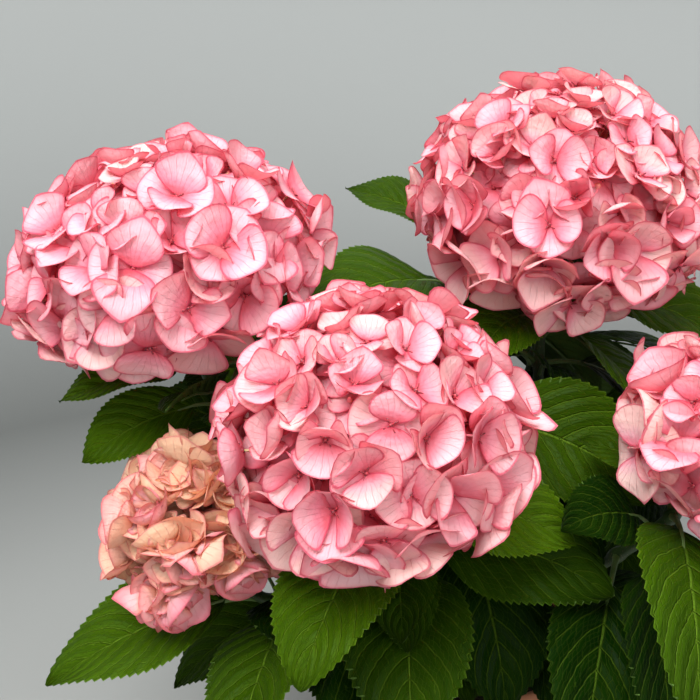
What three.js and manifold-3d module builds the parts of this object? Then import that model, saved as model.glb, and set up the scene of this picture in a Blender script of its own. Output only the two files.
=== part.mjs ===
// A potted mophead hydrangea: a plain terracotta pot filled with soil, a woody foot that forks into
// eleven stems, and on each stem a bare bough, a mass of opposite leaves and, on eight of the
// stems, a round head of blossom. Millimetres and degrees, +Z up.
// The origin is the middle of the pot's flat underside, and azimuth 0 is +X, 90 is +Y.
import * as THREE from "three";
import { mergeVertices } from "three/addons/utils/BufferGeometryUtils.js";
import Module from "manifold-3d";

const wasm = await Module();
wasm.setup();

// Driving dimensions

const GAP = 0.3;

const POT = {
  height: 155,
  rimRadius: 102,
  collarHeight: 36,
  collarStep: 5,
  footRadius: 67,
  wall: 7,
  floor: 10,
  sides: 40,
};
const SOIL_TOP = 140;
const SOIL_EDGE_DROP = 4;

const FOOT = { flareRadius: 19, radius: 12.5, height: 50, lean: 3 };
const STEM_START = 13;
const STUB_LENGTH = 14;
const STEM_RADIUS = { low: 4.8, high: 3.3 };
const STEM_SAMPLES = 200;

// A head's half heights above and below its widest plane, as shares of its radius
const HEAD_UP = 0.85;
const HEAD_DOWN = 0.65;
const HEAD_FOOT = 0.45;
const CORE_SHARE = 0.64;
const FLORET_RADIUS = 24;
const FLORET_REACH = 114;
const GOLDEN_ANGLE = 180 * (3 - Math.sqrt(5));

const LEAF_WIDTH = 0.66;
const LEAF_FOLD = 16;
const LEAF_THICKNESS = 2.2;
const LEAF_STATIONS = [0.2, 0.52, 0.8];
const PETIOLE = { long: 28, short: 20, shortBelow: 76, radius: 1.9 };
const FOLIAGE_FOOT = 16;
const FOLIAGE_TOP = 3;
const LEAF_FACING = 40;
const FACING_RADIUS = 70;

// Least distances kept between the sampled points of the plant
const CLEAR = { blade: 7, petiole: 6.5, stem: 10, petioleToStem: 8, ownHead: 1, head: 3 };
const LOWEST_LEAF = 158;
const RIM_CLEAR = { radius: 125, height: 165 };
const TURNS = [0, 9, -9, 18, -18, 28, -28];
const TILTS = [0, 9, -9, 18, -18];
const SIZES = [1, 0.9, 0.78];

const COLOURS = {
  terracotta: 0xb5674a,
  soil: 0x33261d,
  wood: 0x6b5a3e,
  stem: 0x3c5a24,
  leaf: 0x2f6320,
  bloom: 0xf0a3b4,
  youngBloom: 0xf0bfa0,
};

// Each stem: the centre, radius and lean (azimuth, angle from upright) of its head, or of its tip
// where the radius is 0; its start on the woody foot (azimuth, height above the soil); and its
// pairs of leaves from the top down. A pair is its distance below the head and two leaves, each
// azimuth, length, slope of the blade, bend along it, and an extra turn about its midrib.
const SHOOTS = [
  {
    name: "front", head: [-59, -154, 357], radius: 82, lean: [-100, 25], start: [-110, 20],
    pairs: [
      [8, [-6, 84, -16, 30], [172, 70, -22, 24]],
      [33, [247, 98, -13, 46], [75, 80, -14, 40]],
      [50, [-16, 104, -13, 40], [200, 96, -26, 40]],
      [84, [287, 110, -24, 46], [100, 80, -10, 50]],
    ],
  },
  {
    name: "left", head: [-172, -58, 419], radius: 91, up: 0.8, lean: [195, 14], start: [190, 36],
    pairs: [
      [10, [192, 78, 9, 24, -10], [6, 60, -8, 30]],
      [34, [202, 74, -20, 30, -34], [75, 95, 0, 50]],
      [70, [55, 80, -8, 50], [20, 90, -5, 50]],
      [88, [282, 90, -18, 50], [150, 76, 16, 30, -29]],
    ],
  },
  {
    name: "right", head: [58, -8, 446], radius: 91, lean: [-82, 22], start: [0, 42],
    pairs: [
      [6, [118, 84, -14, 26], [-12, 104, -12, 34, 32]],
      [32, [238, 80, -8, 50], [-52, 98, -30, 40, 12]],
      [58, [-20, 104, -26, 40, 25], [190, 90, -8, 50]],
      [96, [-42, 100, -34, 50, 20], [100, 95, -10, 50]],
    ],
  },
  {
    name: "low_right", head: [131, -140, 348], radius: 62, lean: [-60, 28], start: [-45, 9],
    pairs: [
      [8, [160, 50, 14, 16], [-25, 95, -18, 30]],
      [30, [262, 118, -30, 56], [100, 90, -4, 50]],
      [55, [15, 100, -14, 50], [150, 80, -14, 50]],
      [80, [232, 108, -28, 50], [75, 80, -10, 50]],
    ],
  },
  {
    name: "young", head: [-150, -117, 279], radius: 52, up: 1.1, down: 0.9,
    lean: [215, 26], start: [-150, 8],
    pairs: [
      [24, [199, 112, -9, 30], [40, 60, 0, 40]],
      [46, [256, 100, -20, 40], [110, 80, -10, 50]],
      [80, [284, 112, -12, 50], [200, 90, -18, 50]],
    ],
  },
  {
    name: "middle", head: [-12, -60, 342], radius: 0, lean: [-60, 8], start: [-75, 40],
    pairs: [
      [20, [-15, 110, -32, 40, 20], [165, 90, -6, 40]],
      [38, [330, 100, -26, 44], [85, 80, -4, 50]],
      [68, [308, 112, -46, 40], [170, 85, -12, 50]],
    ],
  },
  {
    name: "inner", head: [6, 62, 414], radius: 0, lean: [120, 6], start: [125, 44],
    pairs: [
      [6, [169, 70, 18, 20, -58], [10, 60, -4, 30]],
      [44, [215, 108, -13, 40, -42], [80, 90, -8, 50]],
      [84, [140, 95, -8, 50], [300, 80, -8, 50]],
      [115, [40, 95, -10, 50], [215, 85, -10, 50]],
    ],
  },
  {
    name: "back_left", head: [-189, 116, 379], radius: 80, lean: [150, 20], start: [150, 10],
    pairs: [
      [10, [100, 95, -18, 30], [280, 70, -16, 30]],
      [38, [165, 100, -20, 40], [0, 95, -12, 50]],
      [70, [75, 100, -14, 50], [240, 90, -14, 50]],
      [105, [160, 100, -14, 50], [340, 80, -14, 50]],
    ],
  },
  {
    name: "back_right", head: [94, 170, 414], radius: 78, lean: [65, 16], start: [60, 32],
    pairs: [
      [10, [130, 90, -18, 30], [-40, 95, -22, 30, 25]],
      [36, [45, 105, -14, 50], [220, 80, -8, 50]],
      [70, [140, 100, -16, 50], [-30, 100, -28, 50, 25]],
      [105, [60, 100, -14, 50], [235, 70, -10, 50]],
    ],
  },
  {
    name: "far_right", head: [245, 35, 372], radius: 76, lean: [0, 22], start: [15, 12],
    pairs: [
      [10, [60, 95, -18, 30], [240, 90, -16, 30]],
      [38, [-20, 105, -20, 40], [150, 90, -16, 50, -60]],
      [72, [60, 100, -16, 50], [255, 100, -16, 50]],
      [110, [-15, 100, -16, 50], [155, 80, -18, 50, -60]],
    ],
  },
  {
    name: "rear", head: [-42, 150, 338], radius: 0, lean: [110, 22], start: [100, 16],
    pairs: [
      [8, [20, 100, -10, 40], [200, 100, -12, 40]],
      [38, [110, 105, -12, 50], [290, 80, -8, 50]],
      [70, [20, 100, -14, 50], [190, 100, -14, 50]],
    ],
  },
];

// Directions and paths

const radians = THREE.MathUtils.degToRad;

function heading(azimuth, elevation) {
  const a = radians(azimuth);
  const e = radians(elevation);
  return new THREE.Vector3(Math.cos(e) * Math.cos(a), Math.cos(e) * Math.sin(a), Math.sin(e));
}

function headAxis(shoot) {
  return heading(shoot.lean[0], 90 - shoot.lean[1]);
}

// The stem's path: it leaves the foot outward and upward, and arrives along the head's axis.
function stemCurve(shoot) {
  const axis = headAxis(shoot);
  const out = heading(shoot.start[0], 0);
  const from = new THREE.Vector3(0, 0, SOIL_TOP + shoot.start[1]).addScaledVector(out, STEM_START);
  const to = new THREE.Vector3(...shoot.head).addScaledVector(axis, -HEAD_FOOT * shoot.radius);
  const span = from.distanceTo(to);
  const away = to.clone().sub(from).setZ(0).normalize();
  const rise = new THREE.Vector3(0, 0, 0.8);
  const first = away.multiplyScalar(0.55).addScaledVector(out, 0.25).add(rise).normalize();
  return new THREE.CubicBezierCurve3(
    from,
    from.clone().addScaledVector(first, 0.38 * span),
    to.clone().addScaledVector(axis, -0.36 * span),
    to,
  );
}

// A stem sampled evenly in its parameter, with the length run at each sample.
function stemOf(shoot) {
  const curve = stemCurve(shoot);
  const points = [];
  const run = [0];
  for (let i = 0; i < STEM_SAMPLES; i++) {
    points.push(curve.getPoint(i / (STEM_SAMPLES - 1)));
    if (i > 0) run.push(run[i - 1] + points[i].distanceTo(points[i - 1]));
  }
  return { points, run, length: run[STEM_SAMPLES - 1] };
}

function stemPoint(stem, s) {
  let i = 1;
  while (i < STEM_SAMPLES - 1 && stem.run[i] < s) i++;
  const share = (s - stem.run[i - 1]) / (stem.run[i] - stem.run[i - 1]);
  return stem.points[i - 1].clone().lerp(stem.points[i], share);
}

function stemDirection(stem, s) {
  return stemPoint(stem, s + 1).sub(stemPoint(stem, s - 1)).normalize();
}

function stemRadius(stem, s) {
  return THREE.MathUtils.lerp(STEM_RADIUS.low, STEM_RADIUS.high, s / stem.length);
}

// How far along the stem a point lies that is some way below the head's space.
function below(shoot, stem, distance) {
  return stem.length - distance - ((shoot.down ?? HEAD_DOWN) - HEAD_FOOT) * shoot.radius;
}

// The growth rule: where each leaf stands

function bladeOutline(s) {
  return Math.pow(Math.sin(Math.PI * Math.pow(s, 0.78)), 0.8);
}

// A blade's frame at even steps from its foot to its tip: the midrib's points, the side vector
// across the blade and the one out of its upper face.
function bladeFrame(node, leaf, steps) {
  const [azimuth, length, slope, bend, turn] = leaf;
  const petiole = length >= PETIOLE.shortBelow ? PETIOLE.long : PETIOLE.short;
  const first = slope + bend / 2;
  const base = node.clone().addScaledVector(heading(azimuth, first + 15), petiole);
  const side = heading(azimuth + 90, 0);
  const away = Math.max(Math.hypot(base.x, base.y), FACING_RADIUS);
  const facing = (base.x * side.x + base.y * side.y) / away;
  const roll = radians(turn - LEAF_FACING * facing);
  const mid = [];
  const across = [];
  const upward = [];
  let previous = null;
  for (let i = 0; i <= steps; i++) {
    const along = heading(azimuth, first - (bend * i) / steps);
    const up = new THREE.Vector3().crossVectors(along, side);
    if (i === 0) mid.push(base.clone());
    else mid.push(mid[i - 1].clone().addScaledVector(previous.add(along), length / (2 * steps)));
    previous = along.clone();
    across.push(side.clone().multiplyScalar(Math.cos(roll)).addScaledVector(up, Math.sin(roll)));
    upward.push(up.multiplyScalar(Math.cos(roll)).addScaledVector(side, -Math.sin(roll)));
  }
  return { base, mid, across, upward, length };
}

// A point of the blade at a share s of its length and v of its half-width, -1 to 1.
function bladePoint(frame, s, v) {
  const steps = frame.mid.length - 1;
  const i = Math.min(Math.floor(s * steps), steps - 1);
  const share = s * steps - i;
  const mid = frame.mid[i].clone().lerp(frame.mid[i + 1], share);
  const across = frame.across[i].clone().lerp(frame.across[i + 1], share);
  const upward = frame.upward[i].clone().lerp(frame.upward[i + 1], share);
  const half = (bladeOutline(s) * LEAF_WIDTH * frame.length) / 2;
  return mid
    .addScaledVector(across, half * v * Math.cos(radians(LEAF_FOLD)))
    .addScaledVector(upward, half * Math.abs(v) * Math.sin(radians(LEAF_FOLD)));
}

const BLADE_STEPS = 12;
const BLADE_COLUMNS = 6;

function bladeSamples(frame) {
  const samples = [];
  for (let i = 0; i <= BLADE_STEPS; i++)
    for (let j = 0; j <= BLADE_COLUMNS; j++) {
      samples.push(bladePoint(frame, i / BLADE_STEPS, (2 * j) / BLADE_COLUMNS - 1));
    }
  return samples;
}

// Whether any point lies in a head's space, grown by a margin.
function insideHead(points, shoot, margin) {
  if (shoot.radius === 0) return false;
  const axis = headAxis(shoot);
  const centre = new THREE.Vector3(...shoot.head);
  return points.some((point) => {
    const from = point.clone().sub(centre);
    const height = from.dot(axis);
    const aside = Math.sqrt(Math.max(from.lengthSq() - height * height, 0));
    const share = height > 0 ? (shoot.up ?? HEAD_UP) : (shoot.down ?? HEAD_DOWN);
    const openBelow = -HEAD_FOOT * shoot.radius - margin;
    if (aside < 0.7 * shoot.radius && height < openBelow) return false;
    return Math.hypot(aside / (shoot.radius + margin), height / (share * shoot.radius + margin)) < 1;
  });
}

function nearer(points, others, distance) {
  const limit = distance * distance;
  return points.some((p) => others.some((q) => p.distanceToSquared(q) < limit));
}

// Whether a trial leaf keeps to its own space.
function isClear(trial, shoot, stems, placed) {
  const { blade, petiole } = trial;
  if (blade.some((p) => p.z < LOWEST_LEAF)) return false;
  if (
    Math.min(...blade.map((p) => p.z)) < RIM_CLEAR.height &&
    Math.min(...blade.map((p) => Math.hypot(p.x, p.y))) < RIM_CLEAR.radius
  )
    return false;
  for (const other of SHOOTS) {
    const own = other === shoot;
    if (insideHead(blade, other, own ? CLEAR.ownHead : CLEAR.head)) return false;
    const line = stems.get(other).points.filter((_, i) => i % 6 === 0);
    if (own && nearer(blade.slice(7), line, CLEAR.petioleToStem)) return false;
    if (!own && nearer(blade, line, CLEAR.stem)) return false;
    if (!own && nearer(petiole, line, CLEAR.petioleToStem)) return false;
  }
  return placed.every(
    (leaf) =>
      !nearer(blade, leaf.blade, CLEAR.blade) &&
      !nearer(blade, leaf.petiole, CLEAR.petiole) &&
      !nearer(petiole, leaf.blade, CLEAR.petiole),
  );
}

function trialLeaf(node, leaf) {
  const frame = bladeFrame(node, leaf, BLADE_STEPS);
  const petiole = [0.25, 0.5, 0.75, 1].map((t) => node.clone().lerp(frame.base, t));
  return { node, frame, blade: bladeSamples(frame), petiole };
}

// Leaves are placed pair by pair from the top of every stem down. One that isn't clear is tried
// at other headings and slopes, then smaller, and is left out if none of these is clear.
function placeLeaf(node, [azimuth, length, slope, bend, turn = 0], shoot, stems, placed) {
  for (const size of SIZES)
    for (const aside of TURNS)
      for (const tilt of TILTS) {
        const leaf = [azimuth + aside, length * size, slope + tilt, bend, turn];
        const trial = trialLeaf(node, leaf);
        if (isClear(trial, shoot, stems, placed)) {
          placed.push({ ...trial, shoot });
          return;
        }
      }
}

function grow() {
  const stems = new Map(SHOOTS.map((shoot) => [shoot, stemOf(shoot)]));
  const placed = [];
  const mostPairs = Math.max(...SHOOTS.map((shoot) => shoot.pairs.length));
  for (let k = 0; k < mostPairs; k++)
    for (const shoot of SHOOTS.filter((s) => s.pairs.length > k)) {
      const stem = stems.get(shoot);
      const [distance, ...pair] = shoot.pairs[k];
      const node = stemPoint(stem, below(shoot, stem, distance));
      for (const leaf of pair) placeLeaf(node, leaf, shoot, stems, placed);
    }
  return { stems, placed };
}

// Solids

function solidOf(geometry) {
  const bare = geometry.clone();
  bare.deleteAttribute("normal");
  bare.deleteAttribute("uv");
  const merged = mergeVertices(bare, 1e-4);
  const index = merged.index.array;
  const kept = [];
  for (let i = 0; i < index.length; i += 3) {
    const [a, b, c] = [index[i], index[i + 1], index[i + 2]];
    if (a !== b && b !== c && c !== a) kept.push(a, b, c);
  }
  return new wasm.Manifold(
    new wasm.Mesh({
      numProp: 3,
      vertProperties: merged.attributes.position.array,
      triVerts: new Uint32Array(kept),
    }),
  );
}

// Joins solids into one body: a scrap that came loose, or a hollow that the joining sealed, goes.
function fuse(solids) {
  const joined = solids.reduce((all, solid) => all.add(solid));
  return joined.decompose().reduce((best, body) => (body.volume() > best.volume() ? body : best));
}

function meshOf(name, solid, colour, roughness) {
  const { vertProperties, triVerts } = solid.getMesh();
  const geometry = new THREE.BufferGeometry();
  geometry.setAttribute("position", new THREE.BufferAttribute(vertProperties, 3));
  geometry.setIndex(new THREE.BufferAttribute(triVerts, 1));
  const material = new THREE.MeshStandardMaterial({ color: colour, roughness, metalness: 0 });
  const mesh = new THREE.Mesh(geometry, material);
  mesh.name = name;
  return mesh;
}

function chord(points, i) {
  const last = points.length - 1;
  return points[Math.min(i + 1, last)].clone().sub(points[Math.max(i - 1, 0)]).normalize();
}

// A closed limb round a line of points, with a radius for each: a cylinder bent along the line.
function limb(points, radii, sides, along = points.map((_, i) => chord(points, i))) {
  const steps = points.length - 1;
  const geometry = new THREE.CylinderGeometry(1, 1, 1, sides, steps);
  const level = new THREE.Vector3(1, 0, 0).cross(along[0]).normalize();
  const position = geometry.attributes.position;
  for (let v = 0; v < position.count; v++) {
    const i = Math.round((position.getY(v) + 0.5) * steps);
    const one = level.clone().addScaledVector(along[i], -level.dot(along[i])).normalize();
    const two = new THREE.Vector3().crossVectors(one, along[i]);
    const moved = points[i]
      .clone()
      .addScaledVector(one, position.getX(v) * radii[i])
      .addScaledVector(two, position.getZ(v) * radii[i]);
    position.setXYZ(v, moved.x, moved.y, moved.z);
  }
  return solidOf(geometry);
}

function stemPiece(stem, from, to, steps, sides) {
  const places = Array.from({ length: steps + 1 }, (_, i) => THREE.MathUtils.lerp(from, to, i / steps));
  return limb(
    places.map((s) => stemPoint(stem, s)),
    places.map((s) => stemRadius(stem, s)),
    sides,
    places.map((s) => stemDirection(stem, s)),
  );
}

// A body turned about the Z axis from radius and height pairs that start and end on the axis.
function turned(profile, sides) {
  const points = profile.map(([radius, height]) => new THREE.Vector2(radius, height));
  return solidOf(new THREE.LatheGeometry(points, sides).rotateX(Math.PI / 2));
}

function pot() {
  const { height, rimRadius, collarHeight, collarStep, footRadius, wall, floor, sides } = POT;
  const collarFoot = height - collarHeight;
  const neck = rimRadius - collarStep - 3;
  return turned(
    [
      [0, 0],
      [footRadius - 2, 0],
      [footRadius, 2],
      [neck, collarFoot - 3],
      [rimRadius - 3, collarFoot],
      [rimRadius - 2, collarFoot + 3],
      [rimRadius, height - 4],
      [rimRadius - 2, height - 0.5],
      [rimRadius - 4, height],
      [rimRadius - wall, height - 2],
      [rimRadius - wall - 1, SOIL_TOP - 8],
      [footRadius - wall, floor + 3],
      [footRadius - wall - 3, floor],
      [0, floor],
    ],
    sides,
  );
}

function soil() {
  const { rimRadius, footRadius, wall, floor } = POT;
  const edge = SOIL_TOP - SOIL_EDGE_DROP;
  const top = rimRadius - wall - 1 - 2 * GAP;
  const innerSlope = (top - footRadius + wall) / (SOIL_TOP - floor);
  return turned(
    [
      [0, floor + GAP],
      [footRadius - wall - 4, floor + GAP],
      [top - 8 * innerSlope - 1, SOIL_TOP - 12],
      [top - 1, edge],
      [0.6 * top, SOIL_TOP - 1.5],
      [1.5 * FOOT.flareRadius, SOIL_TOP],
      [0, SOIL_TOP],
    ],
    POT.sides,
  );
}

// The woody foot: flared and flat on the soil, leaning a little, with a stub for each stem.
function woodyFoot(stems) {
  const { flareRadius, radius, height, lean } = FOOT;
  const shares = [0, 0.07, 0.18, 0.36, 0.64, 0.88, 1];
  const radii = [flareRadius, flareRadius - 3.5, radius + 1.5, radius, radius - 1, 8, 4.5];
  const points = shares.map(
    (share) => new THREE.Vector3(lean * share, -lean * share, SOIL_TOP - 2 + share * (height + 2)),
  );
  const trunk = limb(points, radii, 10);
  const stubs = SHOOTS.map((shoot) => {
    const stem = stems.get(shoot);
    const inside = new THREE.Vector3(0, 0, SOIL_TOP + shoot.start[1] - 6);
    const points = [inside, stemPoint(stem, 0), stemPoint(stem, STUB_LENGTH)];
    const radii = [4, STEM_RADIUS.low, stemRadius(stem, STUB_LENGTH)];
    const along = [chord(points, 0), chord(points, 1), stemDirection(stem, STUB_LENGTH)];
    return limb(points, radii, 6, along);
  });
  const aboveSoil = new THREE.BoxGeometry(200, 200, 200);
  aboveSoil.translate(0, 0, SOIL_TOP + GAP + 100);
  return fuse([trunk, ...stubs]).intersect(solidOf(aboveSoil));
}

// One leaf: a folded blade on a four-sided petiole that starts inside the stem. Each ring is the
// left edge, the upper face's middle, the right edge and the lower face's middle.
function leafSolid({ node, frame }) {
  const { base, mid, across, upward, length } = frame;
  const thick = PETIOLE.radius * THREE.MathUtils.clamp(length / 100, 0.75, 1);
  const corners = [];
  const ring = (middle, half, lift, left, right) => {
    corners.push(left, middle.clone().addScaledVector(lift, half), right);
    corners.push(middle.clone().addScaledVector(lift, -half));
  };
  const stalkRing = (at, half) => {
    const reach = across[0].clone().multiplyScalar(half);
    ring(at, half, upward[0], at.clone().sub(reach), at.clone().add(reach));
  };
  stalkRing(node, thick);
  stalkRing(base, 0.85 * thick);
  for (const s of LEAF_STATIONS) {
    const lift = upward[Math.round(s * BLADE_STEPS)];
    const [left, middle, right] = [-1, 0, 1].map((v) => bladePoint(frame, s, v));
    ring(middle, LEAF_THICKNESS / 2, lift, left, right);
  }
  const tip = corners.length;
  corners.push(mid[BLADE_STEPS]);
  const faces = [
    [0, 1, 2],
    [0, 2, 3],
  ];
  for (let k = 0; k < 4; k++) {
    const next = (k + 1) % 4;
    for (let row = 0; row < tip - 4; row += 4) {
      faces.push([row + k, row + 4 + next, row + next], [row + k, row + 4 + k, row + 4 + next]);
    }
    faces.push([tip, tip - 4 + next, tip - 4 + k]);
  }
  const geometry = new THREE.BufferGeometry().setFromPoints(corners);
  geometry.setIndex(faces.flat());
  return solidOf(geometry);
}

function foliage(shoot, stem, leaves) {
  const lowest = shoot.pairs[shoot.pairs.length - 1][0];
  const from = below(shoot, stem, lowest + FOLIAGE_FOOT) + GAP;
  const to = shoot.radius > 0 ? below(shoot, stem, FOLIAGE_TOP) : stem.length;
  const parts = [stemPiece(stem, from, to, 6, 6)];
  for (const leaf of leaves) parts.push(leafSolid(leaf));
  if (shoot.radius === 0) {
    const tip = stem.points[STEM_SAMPLES - 1];
    const bud = [-2, 2, 7, 12].map((d) => tip.clone().addScaledVector(headAxis(shoot), d));
    parts.push(limb(bud, [3, 4.2, 3.4, 0.6], 6));
  }
  return fuse(parts);
}

function bough(shoot, stem) {
  const lowest = shoot.pairs[shoot.pairs.length - 1][0];
  return stemPiece(stem, STUB_LENGTH + GAP, below(shoot, stem, lowest + FOLIAGE_FOOT), 6, 8);
}

// One floret: four rounded lobes round a sunken middle, on a cone whose point is in the core.
function floretSolid(centre, outward, turn, radius, depth) {
  const one = new THREE.Vector3(0.3, 0.2, 1).cross(outward).normalize();
  const two = new THREE.Vector3().crossVectors(outward, one);
  const corners = [
    centre.clone().addScaledVector(outward, -0.2 * radius),
    centre.clone().addScaledVector(outward, -depth),
  ];
  for (let k = 0; k < 8; k++) {
    const angle = turn + (k * Math.PI) / 4;
    const reach = k % 2 ? 0.68 * radius : radius;
    corners.push(
      centre
        .clone()
        .addScaledVector(one, reach * Math.cos(angle))
        .addScaledVector(two, reach * Math.sin(angle))
        .addScaledVector(outward, k % 2 ? -0.14 * radius : 0),
    );
  }
  const faces = [];
  for (let k = 0; k < 8; k++) {
    const next = (k + 1) % 8;
    faces.push([0, 2 + k, 2 + next], [1, 2 + next, 2 + k]);
  }
  const geometry = new THREE.BufferGeometry().setFromPoints(corners);
  geometry.setIndex(faces.flat());
  return solidOf(geometry);
}

// One head: a smaller domed core, florets on a golden-angle spiral round it, and its stalk.
function bloom(shoot, stem) {
  const axis = headAxis(shoot);
  const centre = new THREE.Vector3(...shoot.head);
  const up = shoot.up ?? HEAD_UP;
  const down = shoot.down ?? HEAD_DOWN;
  const tilt = new THREE.Quaternion().setFromUnitVectors(new THREE.Vector3(0, 0, 1), axis);
  const core = new THREE.SphereGeometry(CORE_SHARE * shoot.radius, 12, 7).rotateX(Math.PI / 2);
  const position = core.attributes.position;
  for (let v = 0; v < position.count; v++) {
    const z = position.getZ(v);
    position.setZ(v, z * (z > 0 ? up : down * 0.8));
  }
  core.applyQuaternion(tilt).translate(centre.x, centre.y, centre.z);
  const floret = FLORET_RADIUS * (shoot.radius > FLORET_RADIUS * 2.4 ? 1 : 0.75);
  const cap = 1 - Math.cos(radians(FLORET_REACH));
  const count = Math.round((cap * shoot.radius ** 2 * (up + 0.3)) / (1.02 * floret ** 2));
  const parts = [solidOf(core)];
  for (let i = 0; i < count; i++) {
    const polar = Math.acos(1 - (cap * (i + 0.5)) / count);
    const around = radians(GOLDEN_ANGLE * i);
    const share = Math.cos(polar) > 0 ? up : down;
    const ball = new THREE.Vector3(
      Math.sin(polar) * Math.cos(around),
      Math.sin(polar) * Math.sin(around),
      Math.cos(polar),
    );
    const place = new THREE.Vector3(ball.x, ball.y, ball.z * share);
    const outward = new THREE.Vector3(ball.x, ball.y, ball.z / share).normalize();
    const radius = shoot.radius - (floret * floret) / (2.4 * shoot.radius);
    place.multiplyScalar(radius).applyQuaternion(tilt).add(centre);
    outward.applyQuaternion(tilt);
    if (SHOOTS.some((other) => other !== shoot && insideHead([place], other, 0.55 * floret))) continue;
    parts.push(floretSolid(place, outward, around * 3, floret, 0.46 * shoot.radius));
  }
  const from = below(shoot, stem, FOLIAGE_TOP) + GAP;
  const stalk = [stemPoint(stem, from), stem.points[STEM_SAMPLES - 1], centre];
  parts.push(limb(stalk, Array(3).fill(STEM_RADIUS.high), 6, [stemDirection(stem, from), axis, axis]));
  return fuse(parts);
}

// The plant and its pot

const plant = new THREE.Group();
const { stems, placed } = grow();

plant.add(meshOf("pot", pot(), COLOURS.terracotta, 0.85));
plant.add(meshOf("soil", soil(), COLOURS.soil, 1));
plant.add(meshOf("woody_foot", woodyFoot(stems), COLOURS.wood, 0.9));
for (const shoot of SHOOTS) {
  const stem = stems.get(shoot);
  const leaves = placed.filter((leaf) => leaf.shoot === shoot);
  plant.add(meshOf(`bough_${shoot.name}`, bough(shoot, stem), COLOURS.stem, 0.7));
  plant.add(meshOf(`foliage_${shoot.name}`, foliage(shoot, stem, leaves), COLOURS.leaf, 0.5));
  if (shoot.radius === 0) continue;
  const colour = shoot.name === "young" ? COLOURS.youngBloom : COLOURS.bloom;
  plant.add(meshOf(`bloom_${shoot.name}`, bloom(shoot, stem), colour, 0.6));
}

export default plant;
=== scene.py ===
"""The looks of a potted mophead hydrangea: bark, stems, leaves, florets, pot and soil.

The plant grows by the rule of its solids, in the same frame, and is then carried on to fine
leaves and florets. Lengths in the tables are millimetres, and MM brings them to metres.
"""

import itertools
import math

import bpy
import numpy as np
from bpy.props import FloatProperty, FloatVectorProperty, IntProperty, PointerProperty
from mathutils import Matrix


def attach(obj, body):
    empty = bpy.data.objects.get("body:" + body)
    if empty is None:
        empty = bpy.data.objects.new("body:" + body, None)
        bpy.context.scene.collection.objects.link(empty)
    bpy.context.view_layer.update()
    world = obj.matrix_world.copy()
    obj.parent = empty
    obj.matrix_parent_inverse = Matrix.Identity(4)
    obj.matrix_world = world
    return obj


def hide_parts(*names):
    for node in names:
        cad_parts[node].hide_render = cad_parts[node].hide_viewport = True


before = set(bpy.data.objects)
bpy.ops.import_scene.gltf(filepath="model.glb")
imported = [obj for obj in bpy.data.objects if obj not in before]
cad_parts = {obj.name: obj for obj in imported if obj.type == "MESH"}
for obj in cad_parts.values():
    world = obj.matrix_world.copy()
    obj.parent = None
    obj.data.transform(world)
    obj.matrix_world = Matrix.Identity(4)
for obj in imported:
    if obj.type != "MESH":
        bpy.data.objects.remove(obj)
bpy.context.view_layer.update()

bl_info = {
    "name": "Potted hydrangea",
    "version": (1, 0, 0),
    "blender": (4, 5, 0),
    "location": "View3D > Sidebar > Hydrangea",
    "description": "Grows the leaves, stems and flower heads of a potted hydrangea",
    "category": "Add Mesh",
}

MM = 0.001
BODY = "root"

# The photograph's camera

CAMERA_PLACE = (-0.070, -0.645, 0.560)
CAMERA_PITCH = 18.0
CAMERA_LENS = 54.0

# The stage: in millimetres the radius of the flat floor, that of the wall, the wall's height and
# how far the floor is sunk; in metres each lamp's place and side, and the point they look at

BACKDROP = {"flat": 1500.0, "wall": 2600.0, "height": 3200.0, "sunk": 0.5}
LAMPS = {
    "key": ((-0.7, -1.3, 2.3), 1.2),
    "fill": ((0.56, -1.77, 1.11), 1.28),
    "top": ((0.1, -0.1, 2.6), 1.5),
    "back": ((0.6, 1.7, 1.7), 1.4),
}
LAMPS_LOOK_AT = (0, -0.05, 0.33)

# Driving sizes of the plant, in millimetres and degrees, as in its solids

SOIL_TOP = 140.0
FOOT = {"height": 50.0, "lean": 3.0, "lift": 0.3, "cap": 2.5, "ridges": (0.05, 0.03)}
FOOT_PROFILE = ((0, 19.0), (0.07, 15.5), (0.18, 14.0), (0.36, 12.5), (0.64, 11.5), (0.88, 8.0), (1, 4.5))
STEM_START = 13.0
STEM_RADIUS = (4.8, 3.3)
STEM_SAMPLES = 200
HEAD_UP = 0.85
HEAD_DOWN = 0.65
HEAD_FOOT = 0.45
LEAF_WIDTH = 0.66
LEAF_FOLD = 16.0
LEAF_FACING = 40.0
FACING_RADIUS = 70.0
PETIOLE = {"long": 28.0, "short": 20.0, "short_below": 76.0}
BLADE_STEPS = 12
BLADE_COLUMNS = 6
CLEAR = {"blade": 7.0, "petiole": 6.5, "stem": 10.0, "petiole_to_stem": 8.0, "own_head": 1.0, "head": 3.0}
LOWEST_LEAF = 158.0
RIM_CLEAR = {"radius": 125.0, "height": 165.0}
TURNS = (0, 9, -9, 18, -18, 28, -28)
TILTS = (0, 9, -9, 18, -18)
SIZES = (1.0, 0.9, 0.78)
SIDE_LEAF = {
    "length": 52.0, "below": 9.0, "slope": 6.0, "bend": 46.0,
    "sizes": (1.0, 0.72), "turns": (0, 20, -20), "tilts": (0,),
}
STEM_STRIDE = 6
INNER_RANK = 3

# Finer sizes that only these looks have: of a blade in shares of its length, a leaf stalk and the
# swollen nodes in millimetres, and a sepal in shares of its own length

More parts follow.
